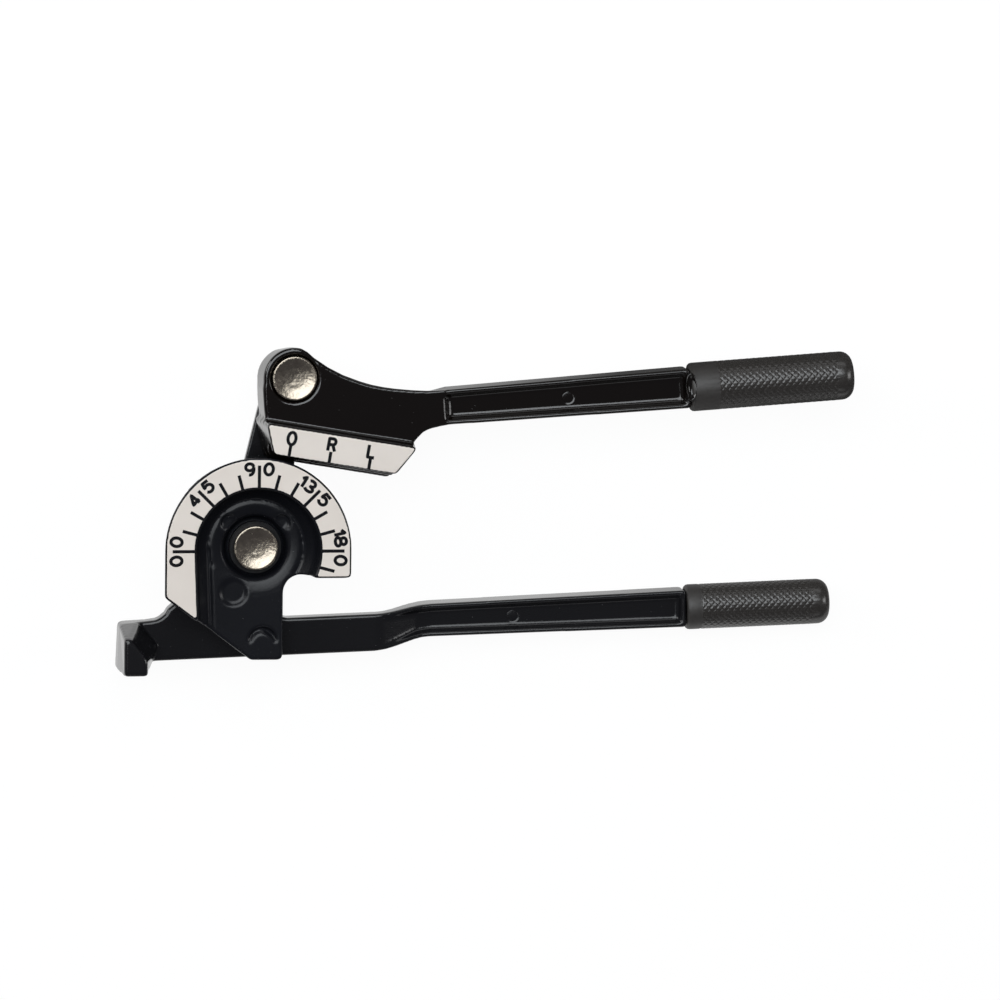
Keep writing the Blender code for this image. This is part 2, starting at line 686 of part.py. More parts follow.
def bar_point(x, y):
    # From the upper bar's own frame to the head's frame
    turn = Matrix.Rotation(UPPER_BAR_ANGLE, 2)
    place = turn @ Vector((x, y))
    return (HEAD_LENGTH + place.x, UPPER_BAR_ROOT + place.y)


def upper_outline():
    half = UPPER_BAR_HEIGHT / 2
    end_half = UPPER_BAR_END_HEIGHT / 2
    nose = arc((0, 0), HEAD_RADIUS, math.radians(196), math.radians(88), 12)
    top = [(x * HEAD_LENGTH, y * HEAD_LENGTH) for x, y in HEAD_TOP_SHARES]
    bar = [bar_point(0, half), bar_point(UPPER_BAR_LENGTH, end_half)]
    bar += [bar_point(UPPER_BAR_LENGTH, -end_half), bar_point(0, -half)]
    heel = [(x * HEAD_LENGTH, y * HEAD_LENGTH) for x, y in HEAD_HEEL_SHARES]
    shoe_top = -(SHOE_FACE - SHOE_WIDTH)
    seat = [(SHOE_RIGHT - OVERRUN, shoe_top - OVERRUN), (SHOE_LEFT + OVERRUN, shoe_top - OVERRUN)]
    front = [(x * HEAD_LENGTH, y * HEAD_LENGTH) for x, y in HEAD_NOSE_SHARES]
    return nose + top + bar + heel + seat + front


def upper_depths(x):
    # The head's faces slope gently to the bar's thickness
    share = min(max((x - UPPER_RAMP_START) / UPPER_RAMP_LENGTH, 0), 1)
    return blend(FORM_BACK, UPPER_BAR_BACK, share), blend(HEAD_FRONT, UPPER_BAR_FRONT, share)


def shoe_section():
    # The stepped grooves of the shoe, in the plane across its length
    points = [(SHOE_REACH - distance, height) for distance, height in groove_points(1)]
    top = SHOE_FACE - SHOE_WIDTH - OVERRUN
    over = FORM_FRONT + OVERRUN
    return [(top, FORM_BACK), (top, over), (points[0][0], over)] + points + [(points[-1][0], FORM_BACK)]


def shoe_block():
    left = SHOE_LEFT - 2 * OVERRUN
    right = SHOE_RIGHT + 2 * OVERRUN
    return loft([[(x, -depth, height) for depth, height in shoe_section()] for x in (left, right)])


def rounded_corner(before, corner, after, radius):
    # Points of a short curve in place of a corner, as long along each side as the radius
    start = corner + (before - corner).normalized() * radius
    end = corner + (after - corner).normalized() * radius
    points = []
    for step in range(4):
        share = step / 3
        points.append(blend(blend(start, corner, share), blend(corner, end, share), share))
    return points


def shoe_plan(foot, growth):
    # The shoe's plan down to a depth, which narrows towards the form
    top = SHOE_FACE - SHOE_WIDTH
    reach = foot - top
    corners = [
        Vector((SHOE_LEFT - growth, -top)), Vector((SHOE_LEFT + SHOE_LEFT_SLOPE * reach - growth, -foot)),
        Vector((SHOE_RIGHT - SHOE_RIGHT_SLOPE * reach + growth, -foot)), Vector((SHOE_RIGHT + growth, -top)),
    ]
    points = []
    for index, corner in enumerate(corners):
        after = corners[(index + 1) % len(corners)]
        points += rounded_corner(corners[index - 1], corner, after, SHOE_CORNER)
    return points


def shoe_wedge():
    # Leans back so that it always ends just past the crests, and grows towards the back
    lean = (len(TUBE_SIZES) - 1) * FLANGE_STEP / sum(TUBE_SIZES[:2])
    rings = []
    for height, growth in ((FORM_BACK - OVERRUN, SHOE_DRAFT), (FORM_FRONT, 0)):
        foot = SHOE_FACE + FIT + (FORM_FRONT - height) * lean
        rings.append([(point.x, point.y, height) for point in shoe_plan(foot, growth)])
    return loft(rings)


def upper_panel(side):
    stop = UPPER_BAR_LENGTH - PANEL_END_GAP
    lead_end = UPPER_PANEL_START + UPPER_PANEL_LEAD
    stations = []
    for x in (UPPER_PANEL_START, lead_end, stop - PANEL_SLOPE, stop):
        lead = min((x - UPPER_PANEL_START) / UPPER_PANEL_LEAD, (stop - x) / PANEL_SLOPE, 1)
        half = blend(UPPER_BAR_HEIGHT, UPPER_BAR_END_HEIGHT, x / UPPER_BAR_LENGTH) / 2
        face = UPPER_BAR_FRONT if side > 0 else UPPER_BAR_BACK
        stations.append((x, 0, half, face, PANEL_DEPTH * lead))
    shape = panel_cutter(stations, side)
    turn = Matrix.Rotation(UPPER_BAR_ANGLE, 4, "Z")
    place = Matrix.Translation((HEAD_LENGTH, UPPER_BAR_ROOT, 0))
    bmesh.ops.transform(shape, matrix=place @ turn, verts=shape.verts[:])
    return shape


def draft_head(shape):
    # The head's back edge lies a little below and left of its front edge
    for vertex in shape.verts:
        if vertex.co.z < HEAD_FRONT / 2 and -HEAD_RADIUS / 2 < vertex.co.y and vertex.co.x < UPPER_RAMP_START * 2:
            vertex.co.y -= HEAD_BACK_DROP
        if vertex.co.z < HEAD_FRONT / 2 and vertex.co.x < -HEAD_RADIUS / 2:
            vertex.co.x -= HEAD_BACK_SHIFT


def upper_bar_end():
    x, y = bar_point(UPPER_BAR_LENGTH, 0)
    return Vector((x, y, (UPPER_BAR_FRONT + UPPER_BAR_BACK) / 2))


def make_upper_handle(enamel, bronze, head_axis):
    shape = slab(upper_outline(), FORM_BACK, HEAD_FRONT)
    set_depths(shape, (UPPER_RAMP_START, UPPER_RAMP_START + UPPER_RAMP_LENGTH), upper_depths)
    draft_head(shape)
    handle = add_piece("upper_handle", shape, enamel, head_axis)
    shoe = add_object("shoe_guide", shoe_block(), head_axis)
    shoe.hide_render = True
    shoe.display_type = "WIRE"
    shape_with(shoe, shoe_wedge(), "INTERSECT")
    join = handle.modifiers.new("shoe", "BOOLEAN")
    join.operation = "UNION"
    join.solver = "EXACT"
    join.object = shoe
    stem = tang(tang_length(UPPER_GRIP_LENGTH), PANEL_END_GAP / 2)
    shape_with(handle, laid_along(stem, UPPER_BAR_ANGLE, upper_bar_end()), "UNION")
    shape_with(handle, upper_panel(1), "DIFFERENCE")
    shape_with(handle, upper_panel(-1), "DIFFERENCE")
    floor = UPPER_BAR_FRONT - PANEL_DEPTH
    mark = disc_cutter(bar_point(UPPER_EJECTOR, 0), EJECTOR_RADIUS, floor - EJECTOR_DEPTH, UPPER_BAR_FRONT)
    shape_with(handle, mark, "DIFFERENCE")
    over = FORM_FRONT + OVERRUN
    shape_with(handle, disc_cutter((0, 0), BUSH_OUTER + FIT, FORM_BACK - OVERRUN, over), "DIFFERENCE")
    shape_with(handle, disc_cutter((0, 0), COUNTERBORE_RADIUS, HEAD_SEAT, over), "DIFFERENCE")
    bush = washer(BUSH_INNER, BUSH_OUTER, FORM_BACK, HEAD_SEAT)
    add_piece("head_bush", bush, bronze, head_axis)
    return handle


def grip_shape(radius, length):
    # A sleeve with a lip at its mouth, a smooth collar and a domed end
    bore = TANG_RADIUS + FIT
    bore_end = tang_length(length) + FIT
    body = radius - GRIP_COLLAR_DEPTH
    dome_start = length - GRIP_DOME
    profile = [
        (0, bore_end), (bore, bore_end), (bore, FIT), (radius - GRIP_LIP_ROUND, FIT),
        (radius, FIT + GRIP_LIP_ROUND), (radius, GRIP_LIP), (body, GRIP_LIP + GRIP_LIP_ROUND),
        (body, GRIP_COLLAR), (radius, GRIP_COLLAR + GRIP_COLLAR_DEPTH),
    ]
    dome = []
    for step in range(7):
        angle = math.radians(90) * step / 6
        dome.append((radius - GRIP_DOME * (1 - math.cos(angle)), dome_start + GRIP_DOME * math.sin(angle)))
    return turned(profile + dome + [(0, length)], False)


def make_grips(rubber, head_axis):
    upright = math.radians(90)
    upper = grip_shape(UPPER_GRIP_RADIUS, UPPER_GRIP_LENGTH)
    add_piece("upper_grip", upper, rubber, head_axis, upper_bar_end(), (0, upright, UPPER_BAR_ANGLE))
    lower = grip_shape(LOWER_GRIP_RADIUS, LOWER_GRIP_LENGTH)
    angle = math.atan(LOWER_BAR_SLOPE)
    add_piece("lower_grip", lower, rubber, None, lower_bar_end(), (0, upright, angle))


def main():
    clear_scene()
    enamel = finish("enamel_black", (0.012, 0.012, 0.014), 0.0, 0.18)
    steel = finish("steel_nickel", (0.60, 0.56, 0.50), 1.0, 0.25)
    black = finish("washer_black", (0.02, 0.02, 0.02), 0.2, 0.45)
    bronze = finish("bush_bronze", (0.50, 0.33, 0.15), 1.0, 0.40)
    rubber = finish("grip_black", (0.015, 0.015, 0.015), 0.0, 0.45)

    link_axis = pivot("link_axis", None, (0, 0, 0), LINK_REST_ANGLE)
    head_axis = pivot("head_axis", link_axis, (LINK_LENGTH, 0, 0), HEAD_ANGLE - LINK_REST_ANGLE)

    make_form(enamel)
    make_rivets(steel)
    make_lower_handle(enamel)
    make_link(enamel, bronze, link_axis)
    make_pivot("lower", steel, black, None, (0, 0, 0))
    make_pivot("upper", steel, black, link_axis, (LINK_LENGTH, 0, 0))
    spacer = washer(BUSH_INNER, HEAD_WASHER_RADIUS, SEAT_FLOOR + FIT, HEAD_SEAT)
    add_piece("lower_head_washer", spacer, black)
    make_upper_handle(enamel, bronze, head_axis)
    make_grips(rubber, head_axis)


main()
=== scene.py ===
# %% [markdown]
# # Lever tube bender
# The real tool is two black enamelled die castings, a flat steel link arm, two nickel
# plated pins and two vinyl grips. It could all be modelled again here, but the new
# pieces would soon drift away from the solids that the joints belong to. So the
# imported model gives every place and every joint, and these cells only dress it.

# %% Load the imported model
import math

import bmesh
import bpy
from mathutils import Matrix, Vector
from mathutils.bvhtree import BVHTree


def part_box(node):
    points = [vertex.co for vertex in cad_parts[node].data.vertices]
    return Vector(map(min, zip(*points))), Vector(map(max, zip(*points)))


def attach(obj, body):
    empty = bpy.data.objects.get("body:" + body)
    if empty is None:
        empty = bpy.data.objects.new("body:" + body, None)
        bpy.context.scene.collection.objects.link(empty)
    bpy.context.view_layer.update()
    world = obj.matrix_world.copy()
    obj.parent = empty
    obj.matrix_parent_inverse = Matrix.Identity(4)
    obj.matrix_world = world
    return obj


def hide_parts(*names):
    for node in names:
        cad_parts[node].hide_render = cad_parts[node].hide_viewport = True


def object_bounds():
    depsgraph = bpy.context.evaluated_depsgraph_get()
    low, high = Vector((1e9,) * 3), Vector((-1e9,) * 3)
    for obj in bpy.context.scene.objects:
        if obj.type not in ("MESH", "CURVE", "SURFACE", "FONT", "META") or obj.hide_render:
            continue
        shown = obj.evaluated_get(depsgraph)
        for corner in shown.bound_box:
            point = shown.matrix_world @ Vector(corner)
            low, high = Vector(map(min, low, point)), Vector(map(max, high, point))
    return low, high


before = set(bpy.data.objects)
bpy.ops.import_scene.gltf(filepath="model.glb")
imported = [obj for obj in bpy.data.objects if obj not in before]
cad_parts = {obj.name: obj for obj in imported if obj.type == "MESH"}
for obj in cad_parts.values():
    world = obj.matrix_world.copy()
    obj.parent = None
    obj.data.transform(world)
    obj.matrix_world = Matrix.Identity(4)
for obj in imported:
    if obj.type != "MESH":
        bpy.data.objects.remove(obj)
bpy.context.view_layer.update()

# %% [markdown]
# ## The camera
# The photograph was taken from in front with a long lens, a little to the left and
# above. A camera can be aimed by hand, or its place and turn can be fitted to points
# that are easy to find on the tool. The second way was chosen, because the render and
# the photograph then lie on each other and every difference shows.

# %% Place the camera
CAMERA_PLACE = (-0.4011, 0.4713, 3.7275)
CAMERA_TURN = (-0.12154, -0.13644, 0.01294)
CAMERA_LENS = 294.38
SENSOR_WIDTH = 36

lens = bpy.data.cameras.new("camera")
lens.lens = CAMERA_LENS
lens.sensor_width = SENSOR_WIDTH
camera = bpy.data.objects.new("camera", lens)
bpy.context.scene.collection.objects.link(camera)
camera.location = CAMERA_PLACE
camera.rotation_euler = CAMERA_TURN
bpy.context.scene.camera = camera
print("Camera at", CAMERA_PLACE, "with a lens of", CAMERA_LENS, "mm")

# %% [markdown]
# ## Colours
# A colour is written as the hex value that a screen shows, while Blender's shaders
# work in linear light. Three linear numbers could be typed instead, but nobody can
# read those as a colour, so one function turns the hex value into them.

# %% Colours in linear light
def colour(hex_value):
    channels = [int(hex_value[place:place + 2], 16) / 255 for place in (1, 3, 5)]
    linear = [c / 12.92 if c <= 0.04045 else ((c + 0.055) / 1.055) ** 2.4 for c in channels]
    return (*linear, 1.0)


print("Middle grey in linear light", colour("#808080"))

# %% [markdown]
# ## The size of a pattern
# A texture's scale says how many of its features fit in one unit, which here is a
# metre. It could be tried out by eye, but a number found that way tells the next
# reader nothing. So each pattern starts from the size of one feature in millimetres.

# %% From millimetres to a texture's scale
def per_metre(size_mm):
    return 1000 / size_mm


print("Features of 2 mm that fit in a metre:", per_metre(2))

# %% [markdown]
# ## Shader nodes
# A material is a small network of nodes. Written out, each node takes three or four
# lines, and a page is soon full of them. One function adds any kind of node with its
# settings and the links that come into it. A second starts every material in the same
# way, on Object coordinates, so that a pattern stays on its piece when a joint turns.

# %% Nodes and materials
def add_node(tree, kind, settings, links=None):
    node = tree.nodes.new(kind)
    for name, value in settings.items():
        if isinstance(name, str) and hasattr(node, name):
            setattr(node, name, value)
        else:
            node.inputs[name].default_value = value
    for name, source in (links or {}).items():
        tree.links.new(source, node.inputs[name])
    return node


def new_material(name, **settings):
    material = bpy.data.materials.new(name)
    material.use_nodes = True
    tree = material.node_tree
    shader = tree.nodes["Principled BSDF"]
    for socket, value in settings.items():
        shader.inputs[socket.replace("_", " ")].default_value = value
    coords = add_node(tree, "ShaderNodeTexCoord", {}).outputs["Object"]
    return material, tree, shader, coords


print("Materials so far", len(bpy.data.materials))

# %% [markdown]
# ## The light print on the front faces
# The ring of the form and the face of the shoe carry a light grey coat, printed over
# the enamel. It could be a second material on chosen faces, but a remeshed skin has no
# clean border to choose along. The printed faces are the only ones at the very front,
# so the height of a point decides whether it is print or paint.

# %% Light print
FRONT = 0.04
PRINT_DEPTH = 0.00012
PRINT_TONES = ("#e9e1d8", "#ddd4cb")
PRINT_ROUGHNESS = 0.5
PRINT_CLOUD_MM = 16.67


def print_mask(tree, coords):
    # 1 on the front faces and 0 on everything behind them
    place = add_node(tree, "ShaderNodeSeparateXYZ", {}, {0: coords})
    mask = add_node(
        tree, "ShaderNodeMath", {"operation": "GREATER_THAN", 1: FRONT - PRINT_DEPTH},
        {0: place.outputs["Z"]},
    )
    return mask.outputs[0]


def print_tone(tree, coords):
    # A squeegee leaves the coat a little uneven, which the eye reads as real print
    cloud = add_node(
        tree, "ShaderNodeTexNoise", {"Scale": per_metre(PRINT_CLOUD_MM), "Detail": 3.0},
        {"Vector": coords},
    )
    tone = add_node(
        tree, "ShaderNodeMix",
        {"data_type": "RGBA", 6: colour(PRINT_TONES[0]), 7: colour(PRINT_TONES[1])},
        {0: cloud.outputs["Fac"]},
    )
    return tone.outputs[2]


print("Print starts", FRONT - PRINT_DEPTH, "m up")

# %% [markdown]
# ## Specks of dust
# Black gloss shows every speck of dust that has settled on it. Real specks could be
# small pieces, but hundreds of them would cost more than the tool itself. A Voronoi
# texture puts a point in each cell of space, and a small ball round that point is
# painted grey wherever the surface runs through it.

# %% Dusty paint
# Three cells in a centimetre
DUST_CELL_MM = 10 / 3
SPECK_RADIUS_SHARE = 0.035
DUST_TONE = "#6a6a6a"


def dusty_paint(tree, coords, paint):
    # Dust is too fine to show, so a speck is drawn as coarse as a quarter of a millimetre
    dust = add_node(
        tree, "ShaderNodeTexVoronoi", {"Scale": per_metre(DUST_CELL_MM)}, {"Vector": coords},
    )
    speck = add_node(
        tree, "ShaderNodeMath", {"operation": "LESS_THAN", 1: SPECK_RADIUS_SHARE},
        {0: dust.outputs["Distance"]},
    )
    tone = add_node(
        tree, "ShaderNodeMix",
        {"data_type": "RGBA", 6: colour(paint), 7: colour(DUST_TONE)},
        {0: speck.outputs[0]},
    )
    return tone.outputs[2]


print("A speck is", 2 * SPECK_RADIUS_SHARE * DUST_CELL_MM, "mm across")

# %% [markdown]
# ## Baked enamel on a die casting
# The castings are sprayed with black enamel, which is then baked hard. Sprayed paint
# dries in low waves, called orange peel, which the eye sees as highlights with a soft
# wandering edge. The waves could be modelled, but they are far lower than a voxel of
# the skins, so a bump draws them. Each casting is a little different in gloss: the
# form is the dullest, and the upper handle mirrors most. The black is the paint's own,
# but the tints are painted reflection: warm brown on the upper handle, cool grey on
# the form, the lower handle and the link.

# %% Baked enamel
PEEL_MM = 2.38
PEEL_HEIGHT = 0.0005


def orange_peel(tree, coords):
    peel = add_node(
        tree, "ShaderNodeTexNoise", {"Scale": per_metre(PEEL_MM), "Detail": 2.0},
        {"Vector": coords},
    )
    bump = add_node(
        tree, "ShaderNodeBump", {"Strength": 0.06, "Distance": PEEL_HEIGHT},
        {"Height": peel.outputs["Fac"]},
    )
    return bump.outputs["Normal"]


def baked_enamel(name, paint, roughness, index):
    # Deep black with a clear mirror on it, and duller where the light print covers it
    material, tree, shader, coords = new_material(name, IOR=index)
    printed = print_mask(tree, coords)
    both = add_node(
        tree, "ShaderNodeMix", {"data_type": "RGBA"},
        {0: printed, 6: dusty_paint(tree, coords, paint), 7: print_tone(tree, coords)},
    )
    tree.links.new(both.outputs[2], shader.inputs["Base Color"])
    gloss = add_node(
        tree, "ShaderNodeMapRange", {"To Min": roughness, "To Max": PRINT_ROUGHNESS},
        {0: printed},
    )
    tree.links.new(gloss.outputs[0], shader.inputs["Roughness"])
    tree.links.new(orange_peel(tree, coords), shader.inputs["Normal"])
    return material


# Painted reflection in the tones: #0c0806 gives the upper handle a warm mirror tint, #141519 and
# #151517 give the others a cool one, standing in for what each casting mirrors
enamel_satin = baked_enamel("baked_enamel_satin_black", "#141519", roughness=0.26, index=1.33)
black_enamel_cool_painted_reflection = baked_enamel("baked_enamel_black", "#151517", roughness=0.17, index=1.45)
black_enamel_warm_painted_reflection = baked_enamel("baked_enamel_gloss_black", "#0c0806", roughness=0.11, index=1.55)
print("Enamels", enamel_satin.name, black_enamel_cool_painted_reflection.name, black_enamel_warm_painted_reflection.name)

# %% [markdown]
# ## Nickel plated steel
# The pins are turned on a lathe and plated with dull nickel, which is a warm grey
# metal. The cutting tool leaves rings round the axis, and years of use leave patches.
# The rings could be cut into the pin's mesh, but they are finer than its facets. A
# wave of rings and a noise, both centred on the pin's axis, bend the light instead.

# %% Nickel plated steel
RING_MM = 5.655
RING_HEIGHT = 0.0002
# At scale 1 Blender's wave texture turns by 20 radians in one unit
WAVE_RADIANS = 20
NICKEL_PATCH_MM = 2.63
NICKEL_PATCH_HEIGHT = 0.0006
NICKEL_TONES = ("#8c8376", "#b4aa9b")


def turned_surface(tree, centred, patches):
    # Turning marks are too fine to show, so the rings are drawn as coarse as 5 to 6 mm
    rings = add_node(
        tree, "ShaderNodeTexWave",
        {"wave_type": "RINGS", "rings_direction": "Z",
         "Scale": math.tau / WAVE_RADIANS * per_metre(RING_MM),
         "Distortion": 1.4, "Detail": 3.0, "Detail Scale": 3.0},
        {"Vector": centred},
    )
    turned = add_node(
        tree, "ShaderNodeBump", {"Strength": 0.3, "Distance": RING_HEIGHT},
        {"Height": rings.outputs["Fac"]},
    )
    uneven = add_node(
        tree, "ShaderNodeBump", {"Strength": 0.35, "Distance": NICKEL_PATCH_HEIGHT},
        {"Height": patches, "Normal": turned.outputs["Normal"]},
    )
    return uneven.outputs["Normal"]


def nickel_plated_steel(name, centre):
    # The eye sees a soft metal mirror that breaks up into rings and worn patches
    material, tree, shader, coords = new_material(name, Metallic=1.0)
    centred = add_node(
        tree, "ShaderNodeMapping",
        {"vector_type": "POINT", "Location": (-centre[0], -centre[1], 0)},
        {"Vector": coords},
    ).outputs[0]
    patches = add_node(
        tree, "ShaderNodeTexNoise",
        {"Scale": per_metre(NICKEL_PATCH_MM), "Detail": 4.0, "Roughness": 0.55},
        {"Vector": centred},
    ).outputs["Fac"]
    tone = add_node(
        tree, "ShaderNodeMix",
        {"data_type": "RGBA", 6: colour(NICKEL_TONES[0]), 7: colour(NICKEL_TONES[1])},
        {0: patches},
    )
    tree.links.new(tone.outputs[2], shader.inputs["Base Color"])
    worn = add_node(tree, "ShaderNodeMapRange", {"To Min": 0.19, "To Max": 0.31}, {0: patches})
    tree.links.new(worn.outputs[0], shader.inputs["Roughness"])
    tree.links.new(turned_surface(tree, centred, patches), shader.inputs["Normal"])
    return material


def node_middle(node):
    low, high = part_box(node)
    return (low + high) / 2


LOWER_PIVOT = node_middle("lower_pivot_pin").xy
UPPER_PIVOT = node_middle("upper_pivot_pin").xy
nickel_lower = nickel_plated_steel("nickel_plated_steel_lower", LOWER_PIVOT)
nickel_upper = nickel_plated_steel("nickel_plated_steel_upper", UPPER_PIVOT)
print("Upper pivot", tuple(UPPER_PIVOT))

# %% [markdown]
# ## Black oxide and sintered bronze
# The spacer washers are steel with a thin black oxide, and the bushes are pressed from
# bronze powder and sintered. Both could be plain materials, but a metal with no
# variation looks like plastic. One function makes either, because both are a grain
# that moves the colour and the gloss between two ends.

# %% Grained materials
def grained(name, grain_mm, detail, tones, gloss, **settings):
    material, tree, shader, coords = new_material(name, **settings)
    grain = add_node(
        tree, "ShaderNodeTexNoise", {"Scale": per_metre(grain_mm), "Detail": detail},
        {"Vector": coords},
    ).outputs["Fac"]
    tone = add_node(
        tree, "ShaderNodeMix",
        {"data_type": "RGBA", 6: colour(tones[0]), 7: colour(tones[1])},
        {0: grain},
    )
    tree.links.new(tone.outputs[2], shader.inputs["Base Color"])
    sheen = add_node(
        tree, "ShaderNodeMapRange", {"To Min": gloss[0], "To Max": gloss[1]}, {0: grain},
    )
    tree.links.new(sheen.outputs[0], shader.inputs["Roughness"])
    return material, tree, shader, grain


# Oxide gives the eye a dull black. Its crystals are drawn as coarse as a millimetre
oxide, *_ = grained(
    "black_oxide_steel", grain_mm=1.111, detail=3.0, tones=("#0c0c0d", "#1c1c1e"),
    gloss=(0.3, 0.5), Metallic=0.6,
)
# Sintered powder gives the eye a grainy brown metal, drawn coarser than real powder
bronze, *_ = grained(
    "sintered_bronze", grain_mm=0.4, detail=2.0, tones=("#7d5f35", "#b08a54"),
    gloss=(0.35, 0.55), Metallic=1.0,
)
print("Grained metals", oxide.name, bronze.name)

# %% [markdown]
# ## Finish the pins, washers and bushes
# These turned pieces are sharp and smooth on the real tool too, so the solids of the
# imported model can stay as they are. They could be set one by one, but their names
# already say what each is made of, so a loop reads the names.

# %% Finish the small steel and bronze pieces
def finish_node(node, material):
    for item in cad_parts[node].material_slots:
        item.material = material
    print(node, "gets", material.name)


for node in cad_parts:
    if "pivot_pin" in node or "tail_washer" in node or "rivet" in node:
        finish_node(node, nickel_upper if "upper" in node else nickel_lower)
    elif "washer" in node:
        finish_node(node, oxide)
    elif "bush" in node:
        finish_node(node, bronze)

# %% [markdown]
# ## Pieces of the dressed tool
# Each new piece is a mesh that rides on one body of the joints, and it may take the
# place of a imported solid. Every piece could do this for itself, but one forgotten line
# would leave it behind when the joint turns, so a single function does it for all.

# %% Add a piece
def add_piece(name, shape, material, body, replaced=()):
    mesh = bpy.data.meshes.new(name)
    bmesh.ops.recalc_face_normals(shape, faces=shape.faces[:])
    shape.to_mesh(mesh)
    shape.free()
    mesh.shade_smooth()
    piece = bpy.data.objects.new(name, mesh)
    bpy.context.scene.collection.objects.link(piece)
    mesh.materials.append(material)
    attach(piece, body)
    if replaced:
        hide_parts(*replaced)
    print(name, len(mesh.polygons), "faces")
    return piece


print("Nodes of the packed model", len(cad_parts))

# %% [markdown]
# ## An even skin over a casting
# A die casting has no sharp edge: the mould, the tumbling and the paint round every
# corner a little. A Bevel modifier could round the solids, but it easily tears on the
# slivers that many cuts leave. A voxel remesh covers any solid with an even skin of
# small squares, which can then be smoothed.

# %% Voxel skin
MERGE_DISTANCE = 0.00001


def merged_copy(node):
    shape = bmesh.new()
    shape.from_mesh(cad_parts[node].data)
    bmesh.ops.remove_doubles(shape, verts=shape.verts[:], dist=MERGE_DISTANCE)
    return shape


def voxel_skin(shape, voxel):
    # A remesh modifier on a short-lived object, read back as a bmesh
    mesh = bpy.data.meshes.new("voxels")
    shape.to_mesh(mesh)
    shape.free()
    block = bpy.data.objects.new("voxels", mesh)
    bpy.context.scene.collection.objects.link(block)
    remesh = block.modifiers.new("voxels", "REMESH")
    remesh.mode = "VOXEL"
    remesh.voxel_size = voxel
    graph = bpy.context.evaluated_depsgraph_get()
    skin = bmesh.new()
    skin.from_object(block, graph)
    bpy.data.objects.remove(block, do_unlink=True)
    bpy.data.meshes.remove(mesh)
    return skin


print("Points closer than", MERGE_DISTANCE, "m become one")

# %% [markdown]
# ## Flat faces that stay flat
# Smoothing rounds the corners, but it also leaves the broad machined faces slightly
# wavy, and gloss enamel shows every wave. Fewer passes would help, but the corners
# would stay sharp. So the skin is drawn back onto the flat faces of the solid, and the
# facets of its curves are left out, or they would show as stripes.

# %% Find the flat faces
FACET_AREA = 0.00006
FACET_LEAST_BEND = math.radians(0.5)
FACET_MOST_BEND = math.radians(16)


def gently_bent(face):
    # A facet of a curve meets its neighbours at a few degrees
    bends = [edge.calc_face_angle(0) for edge in face.edges]
    return any(FACET_LEAST_BEND < abs(bend) < FACET_MOST_BEND for bend in bends)


def flat_faces(node):
    # The flat faces of a node as a search tree, without the facets of its curves
    shape = merged_copy(node)
    facets = [face for face in shape.faces if face.calc_area() < FACET_AREA and gently_bent(face)]
    bmesh.ops.delete(shape, geom=facets, context="FACES_ONLY")
    print(node, "keeps", len(shape.faces), "faces that aren't facets of a curve")
    tree = BVHTree.FromBMesh(shape)
    shape.free()
    return tree


print("A facet of a curve is under", FACET_AREA * 1000 ** 2, "square mm")

# %% [markdown]
# ## From solid to casting
# The three steps together make a casting: a skin of voxels, passes of smoothing, and
# the draw onto the flat faces. The pull on a point is full up to half of the reach and
# then fades, so a rounded corner runs into its flat face without a step.

# %% Cast skin
SMOOTHING = 0.5
FLAT_REACH = 0.00012
INK_ROOM = 0.00005


def cast_skin(node, voxel, passes, lean=0.0):
    # The voxels run along the bar, or a leaning rail would come out in small steps
    shape = merged_copy(node)
    bmesh.ops.transform(shape, matrix=Matrix.Rotation(-lean, 4, "Z"), verts=shape.verts[:])
    skin = voxel_skin(shape, voxel)
    for _ in range(passes):
        bmesh.ops.smooth_vert(
            skin, verts=skin.verts[:], factor=SMOOTHING,
            use_axis_x=True, use_axis_y=True, use_axis_z=True,
        )
    bmesh.ops.transform(skin, matrix=Matrix.Rotation(lean, 4, "Z"), verts=skin.verts[:])
    flats = flat_faces(node)
    for vertex in skin.verts:
        spot, _, _, distance = flats.find_nearest(vertex.co)
        pull = 2 - 2 * distance / FLAT_REACH
        vertex.co = vertex.co.lerp(spot, min(max(pull, 0), 1))
        # The print faces stop short of the model's front, to leave room for the ink
        vertex.co.z = min(vertex.co.z, FRONT - INK_ROOM)
    return skin


print("Print faces stop at", FRONT - INK_ROOM, "m")

# %% [markdown]
# ## The bending form
# The form is the heart of the tool: the tube is drawn round its three stepped grooves.
# Its soft corners could be given by hand, groove by groove. The skin rounds them all
# alike, as the paint does, and its voxels are small enough to keep the cast marks.

# %% Cast the bending form
form_skin = cast_skin("bend_form", voxel=0.00056, passes=11)
add_piece("bend_form_casting", form_skin, enamel_satin, "root", ["bend_form"])

# %% [markdown]
# ## The lower handle
# The lower handle is one casting with the web under the form, the tube hook and a bar
# of I-section. Separate skins would show seams that the casting hasn't got, so a
# single one covers it. Its bar leans by 39 mm in a metre, and so do its voxels.

# %% Cast the lower handle
LOWER_BAR_LEAN = math.atan(0.039)

lower_skin = cast_skin("lower_handle", voxel=0.00055, passes=12, lean=LOWER_BAR_LEAN)
add_piece("lower_handle_casting", lower_skin, black_enamel_cool_painted_reflection, "root", ["lower_handle"])

# %% [markdown]
# ## The upper handle
# The upper handle is the other casting, with the head and the stepped shoe that wipes
# the tube round the form. It could be two skins, one for the head and one for the bar,
# but a single one needs no join. It rides on the body that swings about the upper pin.

# %% Cast the upper handle
UPPER_BAR_LEAN = math.radians(4.3)

upper_skin = cast_skin("upper_handle", voxel=0.00054, passes=10, lean=UPPER_BAR_LEAN)
add_piece("upper_handle_casting", upper_skin, black_enamel_warm_painted_reflection, "handle", ["upper_handle"])

